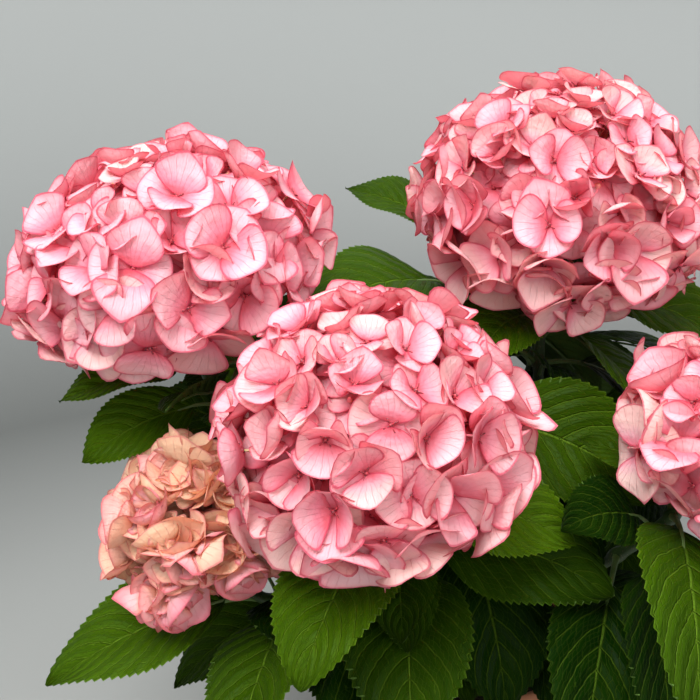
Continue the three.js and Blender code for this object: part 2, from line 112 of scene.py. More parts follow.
BLADE = {
    "tooth": 0.045, "forward": 0.012, "wave": 0.028, "flatter": 0.42,
    "rib": 0.7, "rib_width": 1.6, "droop": 0.06,
}
STALK = {"ribs": 16, "foot": 1.9, "taper": 1.35, "collar": 0.9, "sunk": 1.6, "eased": 4}
NODE = {"swelling": 1.3, "reach": 3.2}
SEPAL = {"half": 0.77, "claw": 0.3, "opens": 0.18, "flatter": 0.45, "above": 1.4, "waves": (0.05, 0.025)}
FLORETS = {
    "outer": 9.5, "deep": 22.0, "deep_share": 0.55, "stack": 2.8, "outer_reach": 122, "deep_reach": 112,
}
YOUNG = {"clusters": 12, "each": 5, "inner": 14, "ball": 17.0, "cap": 66.0}
TINTS = 15

# Each stem: its head's centre, radius and lean, or its tip's where the radius is 0, its start on
# the woody foot, and its pairs of leaves from the top down. A pair is its distance below the
# head and two leaves, each azimuth, length, slope, bend and, where it has one, an extra turn.
SHOOTS = {
    "front": {
        "head": (-59, -154, 357), "radius": 82, "lean": (-100, 25), "start": (-110, 20),
        "pairs": (
            (8, (-6, 84, -16, 30), (172, 70, -22, 24)),
            (33, (247, 98, -13, 46), (75, 80, -14, 40)),
            (50, (-16, 104, -13, 40), (200, 96, -26, 40)),
            (84, (287, 110, -24, 46), (100, 80, -10, 50)),
        ),
    },
    "left": {
        "head": (-172, -58, 419), "radius": 91, "up": 0.8, "lean": (195, 14), "start": (190, 36),
        "pairs": (
            (10, (192, 78, 9, 24, -10), (6, 60, -8, 30)),
            (34, (202, 74, -20, 30, -34), (75, 95, 0, 50)),
            (70, (55, 80, -8, 50), (20, 90, -5, 50)),
            (88, (282, 90, -18, 50), (150, 76, 16, 30, -29)),
        ),
    },
    "right": {
        "head": (58, -8, 446), "radius": 91, "lean": (-82, 22), "start": (0, 42),
        "pairs": (
            (6, (118, 84, -14, 26), (-12, 104, -12, 34, 32)),
            (32, (238, 80, -8, 50), (-52, 98, -30, 40, 12)),
            (58, (-20, 104, -26, 40, 25), (190, 90, -8, 50)),
            (96, (-42, 100, -34, 50, 20), (100, 95, -10, 50)),
        ),
    },
    "low_right": {
        "head": (131, -140, 348), "radius": 62, "lean": (-60, 28), "start": (-45, 9),
        "pairs": (
            (8, (160, 50, 14, 16), (-25, 95, -18, 30)),
            (30, (262, 118, -30, 56), (100, 90, -4, 50)),
            (55, (15, 100, -14, 50), (150, 80, -14, 50)),
            (80, (232, 108, -28, 50), (75, 80, -10, 50)),
        ),
    },
    "young": {
        "head": (-150, -117, 279), "radius": 52, "up": 1.1, "down": 0.9,
        "lean": (215, 26), "start": (-150, 8),
        "pairs": (
            (24, (199, 112, -9, 30), (40, 60, 0, 40)),
            (46, (256, 100, -20, 40), (110, 80, -10, 50)),
            (80, (284, 112, -12, 50), (200, 90, -18, 50)),
        ),
    },
    "middle": {
        "head": (-12, -60, 342), "radius": 0, "lean": (-60, 8), "start": (-75, 40),
        "pairs": (
            (20, (-15, 110, -32, 40, 20), (165, 90, -6, 40)),
            (38, (330, 100, -26, 44), (85, 80, -4, 50)),
            (68, (308, 112, -46, 40), (170, 85, -12, 50)),
        ),
    },
    "inner": {
        "head": (6, 62, 414), "radius": 0, "lean": (120, 6), "start": (125, 44),
        "pairs": (
            (6, (169, 70, 18, 20, -58), (10, 60, -4, 30)),
            (44, (215, 108, -13, 40, -42), (80, 90, -8, 50)),
            (84, (140, 95, -8, 50), (300, 80, -8, 50)),
            (115, (40, 95, -10, 50), (215, 85, -10, 50)),
        ),
    },
    "back_left": {
        "head": (-189, 116, 379), "radius": 80, "lean": (150, 20), "start": (150, 10),
        "pairs": (
            (10, (100, 95, -18, 30), (280, 70, -16, 30)),
            (38, (165, 100, -20, 40), (0, 95, -12, 50)),
            (70, (75, 100, -14, 50), (240, 90, -14, 50)),
            (105, (160, 100, -14, 50), (340, 80, -14, 50)),
        ),
    },
    "back_right": {
        "head": (94, 170, 414), "radius": 78, "lean": (65, 16), "start": (60, 32),
        "pairs": (
            (10, (130, 90, -18, 30), (-40, 95, -22, 30, 25)),
            (36, (45, 105, -14, 50), (220, 80, -8, 50)),
            (70, (140, 100, -16, 50), (-30, 100, -28, 50, 25)),
            (105, (60, 100, -14, 50), (235, 70, -10, 50)),
        ),
    },
    "far_right": {
        "head": (245, 35, 372), "radius": 76, "lean": (0, 22), "start": (15, 12),
        "pairs": (
            (10, (60, 95, -18, 30), (240, 90, -16, 30)),
            (38, (-20, 105, -20, 40), (150, 90, -16, 50, -60)),
            (72, (60, 100, -16, 50), (255, 100, -16, 50)),
            (110, (-15, 100, -16, 50), (155, 80, -18, 50, -60)),
        ),
    },
    "rear": {
        "head": (-42, 150, 338), "radius": 0, "lean": (110, 22), "start": (100, 16),
        "pairs": (
            (8, (20, 100, -10, 40), (200, 100, -12, 40)),
            (38, (110, 105, -12, 50), (290, 80, -8, 50)),
            (70, (20, 100, -14, 50), (190, 100, -14, 50)),
        ),
    },
}
HEADS = [name for name, shoot in SHOOTS.items() if shoot["radius"] > 0]

# Single leaves inside the crown, between the pairs: distance below the head, then as in a pair. A search
# picked these rows, so that they fill the crown's gaps in the photograph's view.
INNER_LEAVES = (
    ("far_right", 147, (260, 75, -42, 40)),
    ("inner", 51, (0, 100, -42, 40)),
    ("back_right", 87, (20, 100, -42, 40)),
    ("back_right", 87, (320, 75, 15, 40)),
    ("back_right", 34, (72, 95, -46, 40)),
    ("young", 104, (126, 66, -12, 40)),
    ("low_right", 160, (270, 66, -30, 40)),
    ("front", 76, (270, 66, -12, 40)),
    ("far_right", 118, (90, 66, -46, 40)),
    ("low_right", 118, (0, 66, -46, 40)),
    ("front", 62, (270, 66, -12, 40)),
    ("left", 34, (252, 66, 10, 40)),
    ("young", 104, (144, 66, 10, 40)),
    ("front", 132, (288, 66, -30, 40)),
    ("front", 104, (0, 66, -12, 40)),
    ("low_right", 48, (216, 66, 10, 40)),
    ("low_right", 62, (270, 95, -46, 40)),
)

# How far a stem's blossom and leaves are off the others' tone. For a head, minus is pinker: partly the head's
# own tone, partly painted light and shade that evens out how brightly the heads are lit. For the leaves it is
# painted shade: minus is darker green for leaves that lie in the heads' shade, plus is lighter
HEAD_TONE_AND_LIGHT = {"left": -0.3, "right": -0.02, "front": -0.06, "low_right": 0.04}
LEAF_PAINTED_SHADE = {"middle": -2.8, "low_right": -1.8, "right": -0.8, "inner": -1.0, "left": 1.6, "front": 0.8}
GOLDEN_ANGLE = math.pi * (3 - math.sqrt(5))

# Directions and paths


def unit(v):
    """v over its own length."""
    return v / np.maximum(np.linalg.norm(v, axis=-1, keepdims=True), 1e-12)


def heading(azimuth, elevation):
    """The unit vector (cos e cos a, cos e sin a, sin e) of an azimuth a and an elevation e."""
    a = np.radians(azimuth)
    e = np.radians(elevation)
    return np.stack(np.broadcast_arrays(np.cos(e) * np.cos(a), np.cos(e) * np.sin(a), np.sin(e)), -1)


def curve(t, start, middle, end):
    """The quadratic curve (1 - t)^2 start + 2 t (1 - t) middle + t^2 end."""
    return (1 - t) ** 2 * start + 2 * t * (1 - t) * middle + t * t * end


def head_axis(shoot):
    azimuth, from_upright = shoot["lean"]
    return heading(azimuth, 90 - from_upright)


def stem_path(shoot):
    """A cubic Bezier curve from the woody foot, leaving outward and up, to the foot of the head,
    arriving along its axis, with the length run at each sample."""
    axis = head_axis(shoot)
    out = heading(shoot["start"][0], 0)
    p0 = np.array([0, 0, SOIL_TOP + shoot["start"][1]]) + out * STEM_START
    p3 = np.array(shoot["head"], float) - axis * HEAD_FOOT * shoot["radius"]
    span = np.linalg.norm(p3 - p0)
    away = unit((p3 - p0) * (1, 1, 0))
    p1 = p0 + unit(away * 0.55 + out * 0.25 + (0, 0, 0.8)) * 0.38 * span
    p2 = p3 - axis * 0.36 * span
    t = np.linspace(0, 1, STEM_SAMPLES)[:, None]
    points = (1 - t) ** 3 * p0 + 3 * t * (1 - t) ** 2 * p1 + 3 * t * t * (1 - t) * p2 + t**3 * p3
    run = np.concatenate([[0], np.cumsum(np.linalg.norm(np.diff(points, axis=0), axis=1))])
    return {"points": points, "run": run, "length": run[-1]}


def along(stem, s):
    """The stem's point at a length s, straight between its samples."""
    s = np.asarray(s, float)
    return np.stack([np.interp(s, stem["run"], stem["points"][:, k]) for k in range(3)], -1)


def below(shoot, stem, distance):
    """How far along the stem a point lies that is some way below the head's space."""
    return stem["length"] - distance - (shoot.get("down", HEAD_DOWN) - HEAD_FOOT) * shoot["radius"]


# The growth rule: where each leaf stands


def blade_outline(s):
    """sin(pi s^0.78)^0.8, the half width along the blade as a share of the widest."""
    return np.maximum(np.sin(np.pi * s**0.78), 0) ** 0.8


def blade_frame(node, leaf, steps):
    """The blade's midrib, with the side and upper directions along it. The elevation runs evenly
    from slope + bend / 2 to slope - bend / 2, and the midrib is its running sum. The side turns
    about the midrib by the leaf's own turn, less a share of how far the leaf faces sideways."""
    azimuth, length, slope, bend, turn = (*leaf, 0)[:5]
    petiole = PETIOLE["long"] if length >= PETIOLE["short_below"] else PETIOLE["short"]
    first = slope + bend / 2
    base = node + heading(azimuth, first + 15) * petiole
    side = heading(azimuth + 90, 0)
    facing = base[:2] @ side[:2] / max(np.hypot(base[0], base[1]), FACING_RADIUS)
    roll = np.radians(turn - LEAF_FACING * facing)
    directions = heading(azimuth, first - bend * np.linspace(0, 1, steps + 1))
    ups = np.cross(directions, side)
    moves = (directions[1:] + directions[:-1]) * length / (2 * steps)
    mid = base + np.concatenate([np.zeros((1, 3)), np.cumsum(moves, axis=0)])
    return {
        "base": base,
        "length": length,
        "mid": mid,
        "across": side * np.cos(roll) + ups * np.sin(roll),
        "upward": ups * np.cos(roll) - side * np.sin(roll),
        "along": directions,
    }


def blade_samples(blade):
    """Points of the blade on a coarse grid: the midrib, plus the half width times v along the
    side and |v| up, both turned by the fold, for v from -1 to 1."""
    s = np.linspace(0, 1, BLADE_STEPS + 1)
    v = np.linspace(-1, 1, BLADE_COLUMNS + 1)[None, :, None]
    fold = np.radians(LEAF_FOLD)
    half = (blade_outline(s) * LEAF_WIDTH * blade["length"] / 2)[:, None, None]
    aside = blade["across"][:, None] * v * np.cos(fold)
    lift = blade["upward"][:, None] * np.abs(v) * np.sin(fold)
    return (blade["mid"][:, None] + half * (aside + lift)).reshape(-1, 3)


def inside_head(points, shoot, margin):
    """Which points lie in a head's space: an ellipsoid whose half height is another share of its
    radius above and below, open where the stem comes in, all grown by a margin."""
    if shoot["radius"] == 0:
        return np.zeros(len(points), bool)
    axis = head_axis(shoot)
    away = points - np.array(shoot["head"], float)
    height = away @ axis
    aside = np.sqrt(np.maximum((away**2).sum(-1) - height**2, 0))
    share = np.where(height > 0, shoot.get("up", HEAD_UP), shoot.get("down", HEAD_DOWN))
    radius = shoot["radius"]
    space = np.hypot(aside / (radius + margin), height / (share * radius + margin)) < 1
    return space & ~((aside < 0.7 * radius) & (height < -HEAD_FOOT * radius - margin))


def nearer(points, others, distance):
    """Whether any of one set of points lies nearer than a distance to any of another."""
    if len(points) == 0 or len(others) == 0:
        return False
    gap = points[:, None] - others[None]
    return bool(((gap**2).sum(-1) < distance**2).any())


def is_clear(trial, name, stems, placed):
    """Whether a trial leaf keeps to its own space."""
    blade, petiole = trial["samples"], trial["petiole"]
    if blade[:, 2].min() < LOWEST_LEAF:
        return False
    if blade[:, 2].min() < RIM_CLEAR["height"] and np.hypot(*blade[:, :2].T).min() < RIM_CLEAR["radius"]:
        return False
    for other, shoot in SHOOTS.items():
        own = other == name
        if inside_head(blade, shoot, CLEAR["own_head"] if own else CLEAR["head"]).any():
            return False
        line = stems[other]["points"][::STEM_STRIDE]
        if own and nearer(blade[BLADE_COLUMNS + 1 :], line, CLEAR["petiole_to_stem"]):
            return False
        if not own and nearer(blade, line, CLEAR["stem"]):
            return False
        if not own and nearer(petiole, line, CLEAR["petiole_to_stem"]):
            return False
    blades = placed["samples"]
    petioles = placed["petioles"]
    return not (
        nearer(blade, blades, CLEAR["blade"])
        or nearer(blade, petioles, CLEAR["petiole"])
        or nearer(petiole, blades, CLEAR["petiole"])
    )


def place_leaf(name, node, wanted, stems, placed, rank):
    """Tries a leaf as wanted, then at other slopes and headings, then smaller, and leaves it out
    if none of these is clear. A side leaf has no rank and fewer trials."""
    azimuth, length, slope, bend, turn = (*wanted, 0)[:5]
    side = (SIDE_LEAF["sizes"], SIDE_LEAF["turns"], SIDE_LEAF["tilts"])
    for size, aside, tilt in itertools.product(*(side if rank is None else (SIZES, TURNS, TILTS))):
        leaf = (azimuth + aside, length * size, slope + tilt, bend, turn)
        blade = blade_frame(node, leaf, BLADE_STEPS)
        samples = blade_samples(blade)
        petiole = node + (blade["base"] - node) * np.array([[0.25], [0.5], [0.75], [1.0]])
        if is_clear({"samples": samples, "petiole": petiole}, name, stems, placed):
            placed["samples"] = np.concatenate([placed["samples"], samples])
            placed["petioles"] = np.concatenate([placed["petioles"], petiole])
            placed["leaves"].append({"shoot": name, "node": node, "leaf": leaf, "rank": rank})
            return


def grow():
    """Every stem's path, and every leaf that the rule places, pair by pair from the top down."""
    stems = {name: stem_path(shoot) for name, shoot in SHOOTS.items()}
    placed = {"samples": np.zeros((0, 3)), "petioles": np.zeros((0, 3)), "leaves": []}
    for k in range(max(len(shoot["pairs"]) for shoot in SHOOTS.values())):
        for name, shoot in SHOOTS.items():
            if k < len(shoot["pairs"]):
                distance, *pair = shoot["pairs"][k]
                node = along(stems[name], below(shoot, stems[name], distance))
                for wanted in pair:
                    place_leaf(name, node, wanted, stems, placed, k)
    for name, distance, wanted in INNER_LEAVES:
        node = along(stems[name], below(SHOOTS[name], stems[name], distance))
        place_leaf(name, node, wanted, stems, placed, INNER_RANK)
    for name, shoot in SHOOTS.items():
        for distance, *pair in shoot["pairs"]:
            node = along(stems[name], below(shoot, stems[name], distance + SIDE_LEAF["below"]))
            for side in (90, -90):
                small = (pair[0][0] + side, SIDE_LEAF["length"], SIDE_LEAF["slope"], SIDE_LEAF["bend"])
                place_leaf(name, node, small, stems, placed, None)
    return stems, placed["leaves"]


# Meshes from arrays


class Faces:
    """Grids and tubes gathered as arrays of corners, four-sided faces and UVs, for one mesh."""

    def __init__(self):
        self.points = []
        self.quads = []
        self.uvs = []
        self.materials = []
        self.sharp = []
        self.count = 0

    def add(self, points, quads, uvs, material=0, sharp=None):
        """points (n, 3) in millimetres, quads (m, 4) of their numbers, uvs (m, 4, 2)."""
        self.points.append(points)
        self.quads.append(quads + self.count)
        self.uvs.append(uvs)
        self.materials.append(np.broadcast_to(material, len(quads)))
        self.sharp.append(np.zeros(len(points), bool) if sharp is None else sharp)
        self.count += len(points)

    def add_shells(self, top, uv, thickness, material=0, under_uv=None):
        """Thin closed shells from grids: top is (sheets, rows, columns, 3). The underside lies a
        thickness behind, along the grid's own normal, and shares the outline with the top."""
        sheets, rows, columns, _ = top.shape
        d_row = np.gradient(top, axis=1)
        d_column = np.gradient(top, axis=2)
        normal = unit(np.cross(d_column, d_row))
        under = top - normal * thickness
        grid = np.arange(rows * columns).reshape(rows, columns)
        rim = np.ones((rows, columns), bool)
        rim[1:-1, 1:-1] = False
        inner = np.full((rows, columns), -1)
        inner[~rim] = rows * columns + np.arange((~rim).sum())
        lower = np.where(rim, grid, inner)
        upper_quads = quads_of(grid)
        lower_quads = quads_of(lower)[:, ::-1]
        each = rows * columns + (~rim).sum()
        points = np.concatenate([top.reshape(sheets, -1, 3), under[:, ~rim]], axis=1)
        quads = np.concatenate([upper_quads, lower_quads])
        quads = (quads[None] + (np.arange(sheets) * each)[:, None, None]).reshape(-1, 4)
        corner = quads_of(grid)
        flat = uv.reshape(sheets, -1, 2)
        flat_under = flat if under_uv is None else under_uv.reshape(sheets, -1, 2)
        uvs = np.concatenate([flat[:, corner], flat_under[:, corner[:, ::-1]]], axis=1)
        sharp = np.concatenate([rim.ravel(), np.zeros((~rim).sum(), bool)])
        per_face = np.repeat(np.broadcast_to(material, sheets), 2 * len(corner))
        self.add(points.reshape(-1, 3), quads, uvs.reshape(-1, 4, 2), per_face, np.tile(sharp, sheets))

    def add_tubes(self, paths, radii, sides, material=0, squash=1.0):
        """Closed tubes: paths is (tubes, steps, 3) and radii (tubes, steps). A ring of so many
        sides stands square to the path at each step, and the end rings are capped. The UV runs
        round the tube and, in tens of millimetres, along it."""
        tubes, steps, _ = paths.shape
        tangent = unit(np.gradient(paths, axis=1))
        guide = np.where(np.abs(tangent[:, :1, 2:]) > 0.9, [[[1.0, 0, 0]]], [[[0, 0, 1.0]]])
        one = unit(np.cross(tangent, guide))
        two = np.cross(tangent, one)
        angle = np.linspace(0, 2 * np.pi, sides, endpoint=False)
        ring = one[:, :, None] * np.cos(angle)[:, None] + two[:, :, None] * np.sin(angle)[:, None] * squash
        points = paths[:, :, None] + ring * radii[:, :, None, None]
        grid = np.arange(steps * sides).reshape(steps, sides)
        wrapped = np.concatenate([grid, grid[:, :1]], axis=1)
        quads = quads_of(wrapped)
        cap = np.array([[0, k + 3, k + 2, k + 1] for k in range(0, sides - 2, 2)])
        far = (steps - 1) * sides + cap[:, ::-1]
        quads = np.concatenate([quads, cap, far])
        quads = (quads[None] + (np.arange(tubes) * steps * sides)[:, None, None]).reshape(-1, 4)
        run = np.cumsum(np.linalg.norm(np.diff(paths, axis=1, prepend=paths[:, :1]), axis=2), axis=1)
        around = np.linspace(0, 1, sides + 1)
        u = np.broadcast_to(around, (tubes, steps, sides + 1))
        v = np.broadcast_to(run[:, :, None] / 10, (tubes, steps, sides + 1))
        uv_grid = np.stack([u, v], -1).reshape(tubes, -1, 2)
        body = uv_grid[:, quads_of(np.arange(steps * (sides + 1)).reshape(steps, sides + 1))]
        ends = np.zeros((tubes, 2 * len(cap), 4, 2))
        uvs = np.concatenate([body, ends], axis=1).reshape(-1, 4, 2)
        per_face = np.repeat(np.broadcast_to(material, tubes), len(uvs) // tubes)
        self.add(points.reshape(-1, 3), quads, uvs, per_face)

    def piece(self, name, materials, uv_name="OFBake"):
        """The mesh object, in metres, with its materials and its UV map."""
        points = np.concatenate(self.points) * MM
        quads = np.concatenate(self.quads)
        mesh = bpy.data.meshes.new(name)
        mesh.vertices.add(len(points))
        mesh.vertices.foreach_set("co", points.astype(np.float32).ravel())
        mesh.loops.add(quads.size)
        mesh.loops.foreach_set("vertex_index", quads.astype(np.int32).ravel())
        mesh.polygons.add(len(quads))
        mesh.polygons.foreach_set("loop_start", np.arange(0, quads.size, 4, dtype=np.int32))
        mesh.update(calc_edges=True)
        mesh.polygons.foreach_set("use_smooth", np.ones(len(quads), bool))
        mesh.polygons.foreach_set("material_index", np.concatenate(self.materials).astype(np.int32))
        layer = mesh.uv_layers.new(name=uv_name)
        layer.data.foreach_set("uv", np.concatenate(self.uvs).astype(np.float32).ravel())
        rim = np.concatenate(self.sharp)
        if rim.any():
            ends = np.zeros(len(mesh.edges) * 2, np.int32)
            mesh.edges.foreach_get("vertices", ends)
            mesh.edges.foreach_set("use_edge_sharp", rim[ends.reshape(-1, 2)].all(axis=1))
        for material in materials:
            mesh.materials.append(material)
        mesh.validate()
        piece = bpy.data.objects.new(name, mesh)
        bpy.context.scene.collection.objects.link(piece)
        return piece


def quads_of(grid):
    """The four corners of every cell of a grid of numbers."""
    return np.stack([grid[:-1, :-1], grid[:-1, 1:], grid[1:, 1:], grid[1:, :-1]], -1).reshape(-1, 4)


def turned(profile, sides):
    """A surface of revolution about Z: (steps, sides + 1, 3) from radius and height pairs."""
    angle = np.linspace(0, 2 * np.pi, sides + 1)
    radius = profile[:, :1]
    height = np.broadcast_to(profile[:, 1:], (len(profile), sides + 1))
    return np.stack([radius * np.cos(angle), radius * np.sin(angle), height], -1)


def rounded(corners, radius, arc=5):
    """A profile with each inner corner replaced by a quadratic curve that starts and ends a
    radius away from it, or less beside a short stretch."""
    corners = np.array(corners, float)
    out = [corners[:1]]
    t = np.linspace(0, 1, arc)[:, None]
    for before, corner, after in zip(corners[:-2], corners[1:-1], corners[2:]):
        back = before - corner
        on = after - corner
        reach_back = min(radius, 0.45 * np.linalg.norm(back))
        reach_on = min(radius, 0.45 * np.linalg.norm(on))
        start = corner + unit(back) * reach_back
        end = corner + unit(on) * reach_on
        out.append(curve(t, start, corner, end))
    out.append(corners[-1:])
    return np.concatenate(out)


def ripple(points, scale, seed):
    """Smooth noise of about -1 to 1: the sum of four products of two sines of the turned, scaled
    coordinates over 2.2, with directions, pitches and phases drawn from the seed."""
    rng = np.random.default_rng(seed)
    total = 0
    for _ in range(4):
        a, b = unit(rng.normal(size=(2, 3)))
        phase = rng.uniform(0, 2 * np.pi, 2)
        pitch = scale * rng.uniform(0.7, 1.4)
        total = total + np.sin(points @ a / pitch + phase[0]) * np.sin(points @ b / pitch + phase[1])
    return total / 2.2


# Materials


class Value:
    """A socket that arithmetic can be written with: each operator adds its Math node."""

    def __init__(self, graph, socket):
        self.graph = graph
        self.socket = socket

    def maths(self, operation, *others):
        return self.graph.node("Math", {"operation": operation}, dict(enumerate((self, *others))))

    def __add__(self, other):
        return self.maths("ADD", other)

    __radd__ = __add__

    def __sub__(self, other):
        return self.maths("SUBTRACT", other)

    def __rsub__(self, other):
        return self.graph.node("Math", {"operation": "SUBTRACT"}, {0: other, 1: self})

    def __mul__(self, other):
        return self.maths("MULTIPLY", other)

    __rmul__ = __mul__

    def __truediv__(self, other):
        return self.maths("DIVIDE", other)

    def __pow__(self, other):
        return self.maths("POWER", other)

    def __abs__(self):
        return self.maths("ABSOLUTE")

    def floor(self):
        return self.maths("FLOOR")

    def sine(self):
        return self.maths("SINE")

    def at_least(self, other):
        return self.maths("MAXIMUM", other)

    def step(self, low, high):
        """0 below low, 1 above high, and a smooth step between."""
        settings = {"interpolation_type": "SMOOTHSTEP"}
        return self.graph.node("MapRange", settings, {"Value": self, "From Min": low, "From Max": high})


class Graph:
    """A material's node tree, with one method that makes every node."""

    def __init__(self, name):
        self.material = bpy.data.materials.new(name)
        self.material.use_nodes = True
        self.tree = self.material.node_tree
        self.tree.nodes.clear()

    def node(self, kind, settings=None, inputs=None, output=0):
        made = self.tree.nodes.new("ShaderNode" + kind)
        for key, value in (settings or {}).items():
            if key == "stops":
                self.set_stops(made.color_ramp, value)
            else:
                setattr(made, key, value)
        for key, value in (inputs or {}).items():
            if isinstance(value, Value):
                self.tree.links.new(value.socket, made.inputs[key])
            else:
                made.inputs[key].default_value = value
        return Value(self, made.outputs[output]) if made.outputs else None

    @staticmethod
    def set_stops(ramp, stops):
        while len(ramp.elements) < len(stops):
            ramp.elements.new(1.0)
        for element, (place, colour) in zip(ramp.elements, stops):
            element.position = place
            element.color = (*colour[:3], 1)

    def mix(self, share, one, two):
        """A colour that goes from one to two as share goes from 0 to 1."""
        inputs = {0: share, 6: solid(one), 7: solid(two)}
        return self.node("Mix", {"data_type": "RGBA", "clamp_factor": True}, inputs, 2)

    def noise(self, vector, scale, detail=3.0):
        return self.node("TexNoise", {}, {"Vector": vector, "Scale": scale, "Detail": detail}, "Fac")

    def bump(self, height, distance, strength=1.0):
        return self.node("Bump", {}, {"Height": height, "Distance": distance, "Strength": strength})

    def place(self):
        """The coordinates of the object, which are those of the whole plant, in metres."""
        return self.node("TexCoord", {}, {}, "Object")

    def parts(self, vector):
        """The three numbers of a vector."""
        return [self.node("SeparateXYZ", {}, {0: vector}, k) for k in range(3)]

    def finish(self, colour, roughness, normal=None, gloss=None, through=None, share=0.0):
        """The material: a Principled shader and, for a thin sheet, a share of light through it."""
        inputs = {"Base Color": colour, "Roughness": roughness, "Normal": normal, "Specular IOR Level": gloss}
        given = {key: value for key, value in inputs.items() if value is not None}
        shader = self.node("BsdfPrincipled", {}, given)
        if through is not None:
            glow = self.node("BsdfTranslucent", {}, {"Color": solid(through)})
            shader = self.node("MixShader", {}, {0: share, 1: shader, 2: glow})
        self.node("OutputMaterial", {}, {"Surface": shader})
        return self.material


def solid(colour):
    return colour if isinstance(colour, Value) else (*colour[:3], 1.0)


PETAL_CELLS = (4, 4)
LEAF_CELLS = (4, 2)
CELL_MARGIN = 0.04


def cell_uv(cells, index, x, y):
    """UVs in one cell of an atlas: x from -1 to 1 across and y from 0 to 1 up, inside a margin."""
    columns, rows = cells
    inner = 1 - 2 * CELL_MARGIN
    u = (index % columns + CELL_MARGIN + inner * (x + 1) / 2) / columns
    v = (index // columns + CELL_MARGIN + inner * y) / rows
    return np.stack(np.broadcast_arrays(u, v), -1)


def cell_coordinates(graph, cells):
    """The cell's number, and x from -1 to 1 and y from 0 to 1 inside it, read from the UV map."""
    columns, rows = cells
    uv = graph.node("UVMap", {"uv_map": "OFBake"})
    u, v, _ = graph.parts(uv)
    column = (u * columns).floor()
    row = (v * rows).floor()
    inner = 1 - 2 * CELL_MARGIN
    x = ((u * columns - column - CELL_MARGIN) / inner - 0.5) * 2
    y = (v * rows - row - CELL_MARGIN) / inner
    return uv, column + row * columns, x, y


def petal_material(name, settings, young=False):
    """A sepal on the unit disc: deep at its claw, paler outward, with fanned veins and a thin deep margin all
    round. The deep claw and the pale outer part are partly the sepal's own colours and partly painted shade
    in the bottom of the cup and a painted highlight further out. Sixteen cells go from the pinkest tint to
    the creamiest."""
    graph = Graph(name)
    uv, cell, x, y = cell_coordinates(graph, PETAL_CELLS)
    tint = cell / (PETAL_CELLS[0] * PETAL_CELLS[1] - 1)
    mottle = graph.noise(uv, 26.0)
    out = y + (mottle - 0.5) * 0.34
    pink_stops = [(0.0, settings.deep), (0.15, settings.warm), (0.34, settings.pink), (0.68, settings.pale)]
    cream_stops = [(0.0, settings.warm), (0.13, settings.pink), (0.28, settings.pale), (0.55, settings.cream)]
    if young:
        pink_stops = [(0.0, settings.bud), (0.25, settings.young), (0.6, settings.pale), (1.0, settings.pink)]
        cream_stops = [(0.0, settings.bud), (0.2, settings.young), (0.45, settings.straw)]
    pink = graph.node("ValToRGB", {"stops": pink_stops}, {0: out})
    cream = graph.node("ValToRGB", {"stops": cream_stops}, {0: out})
    colour = graph.mix(tint.step(0.05, 0.95), pink, cream)
    spread = x / (y * 0.75 + 0.25)
    fan = spread * 9 + (graph.noise(uv, 12.0) - 0.5) * 3.0
    vein = (1 - abs(fan.sine())).step(0.8, 1.0) * (1 - y.step(0.8, 1.0))
    fine = (1 - abs((spread * 27 + (graph.noise(uv, 44.0) - 0.5) * 7).sine())).step(0.72, 1.0)
    colour = graph.mix(vein * 0.19 + fine * 0.08, colour, settings.warm)
    ring = (x * x + (y * 2 - 1) * (y * 2 - 1)) ** 0.5 + (mottle - 0.5) * 0.05
    blush = ring.step(0.74, 0.96) * (1 - tint * 0.7)
    colour = graph.mix(blush * 0.45, colour, settings.warm)
    edge = ring.step(0.915, 0.95)
    colour = graph.mix(edge * (0.72 if not young else 0.5), colour, settings.margin)
    crumple = graph.noise(uv, 15.0, 2.0)
    relief = vein * -0.2 + fine * -0.08 + mottle * 0.3 + crumple * 1.1
    through = settings.glow_young if young else settings.glow
    return graph.finish(colour, 0.6, graph.bump(relief, 0.0016, 0.8), 0.12, through, 0.48)


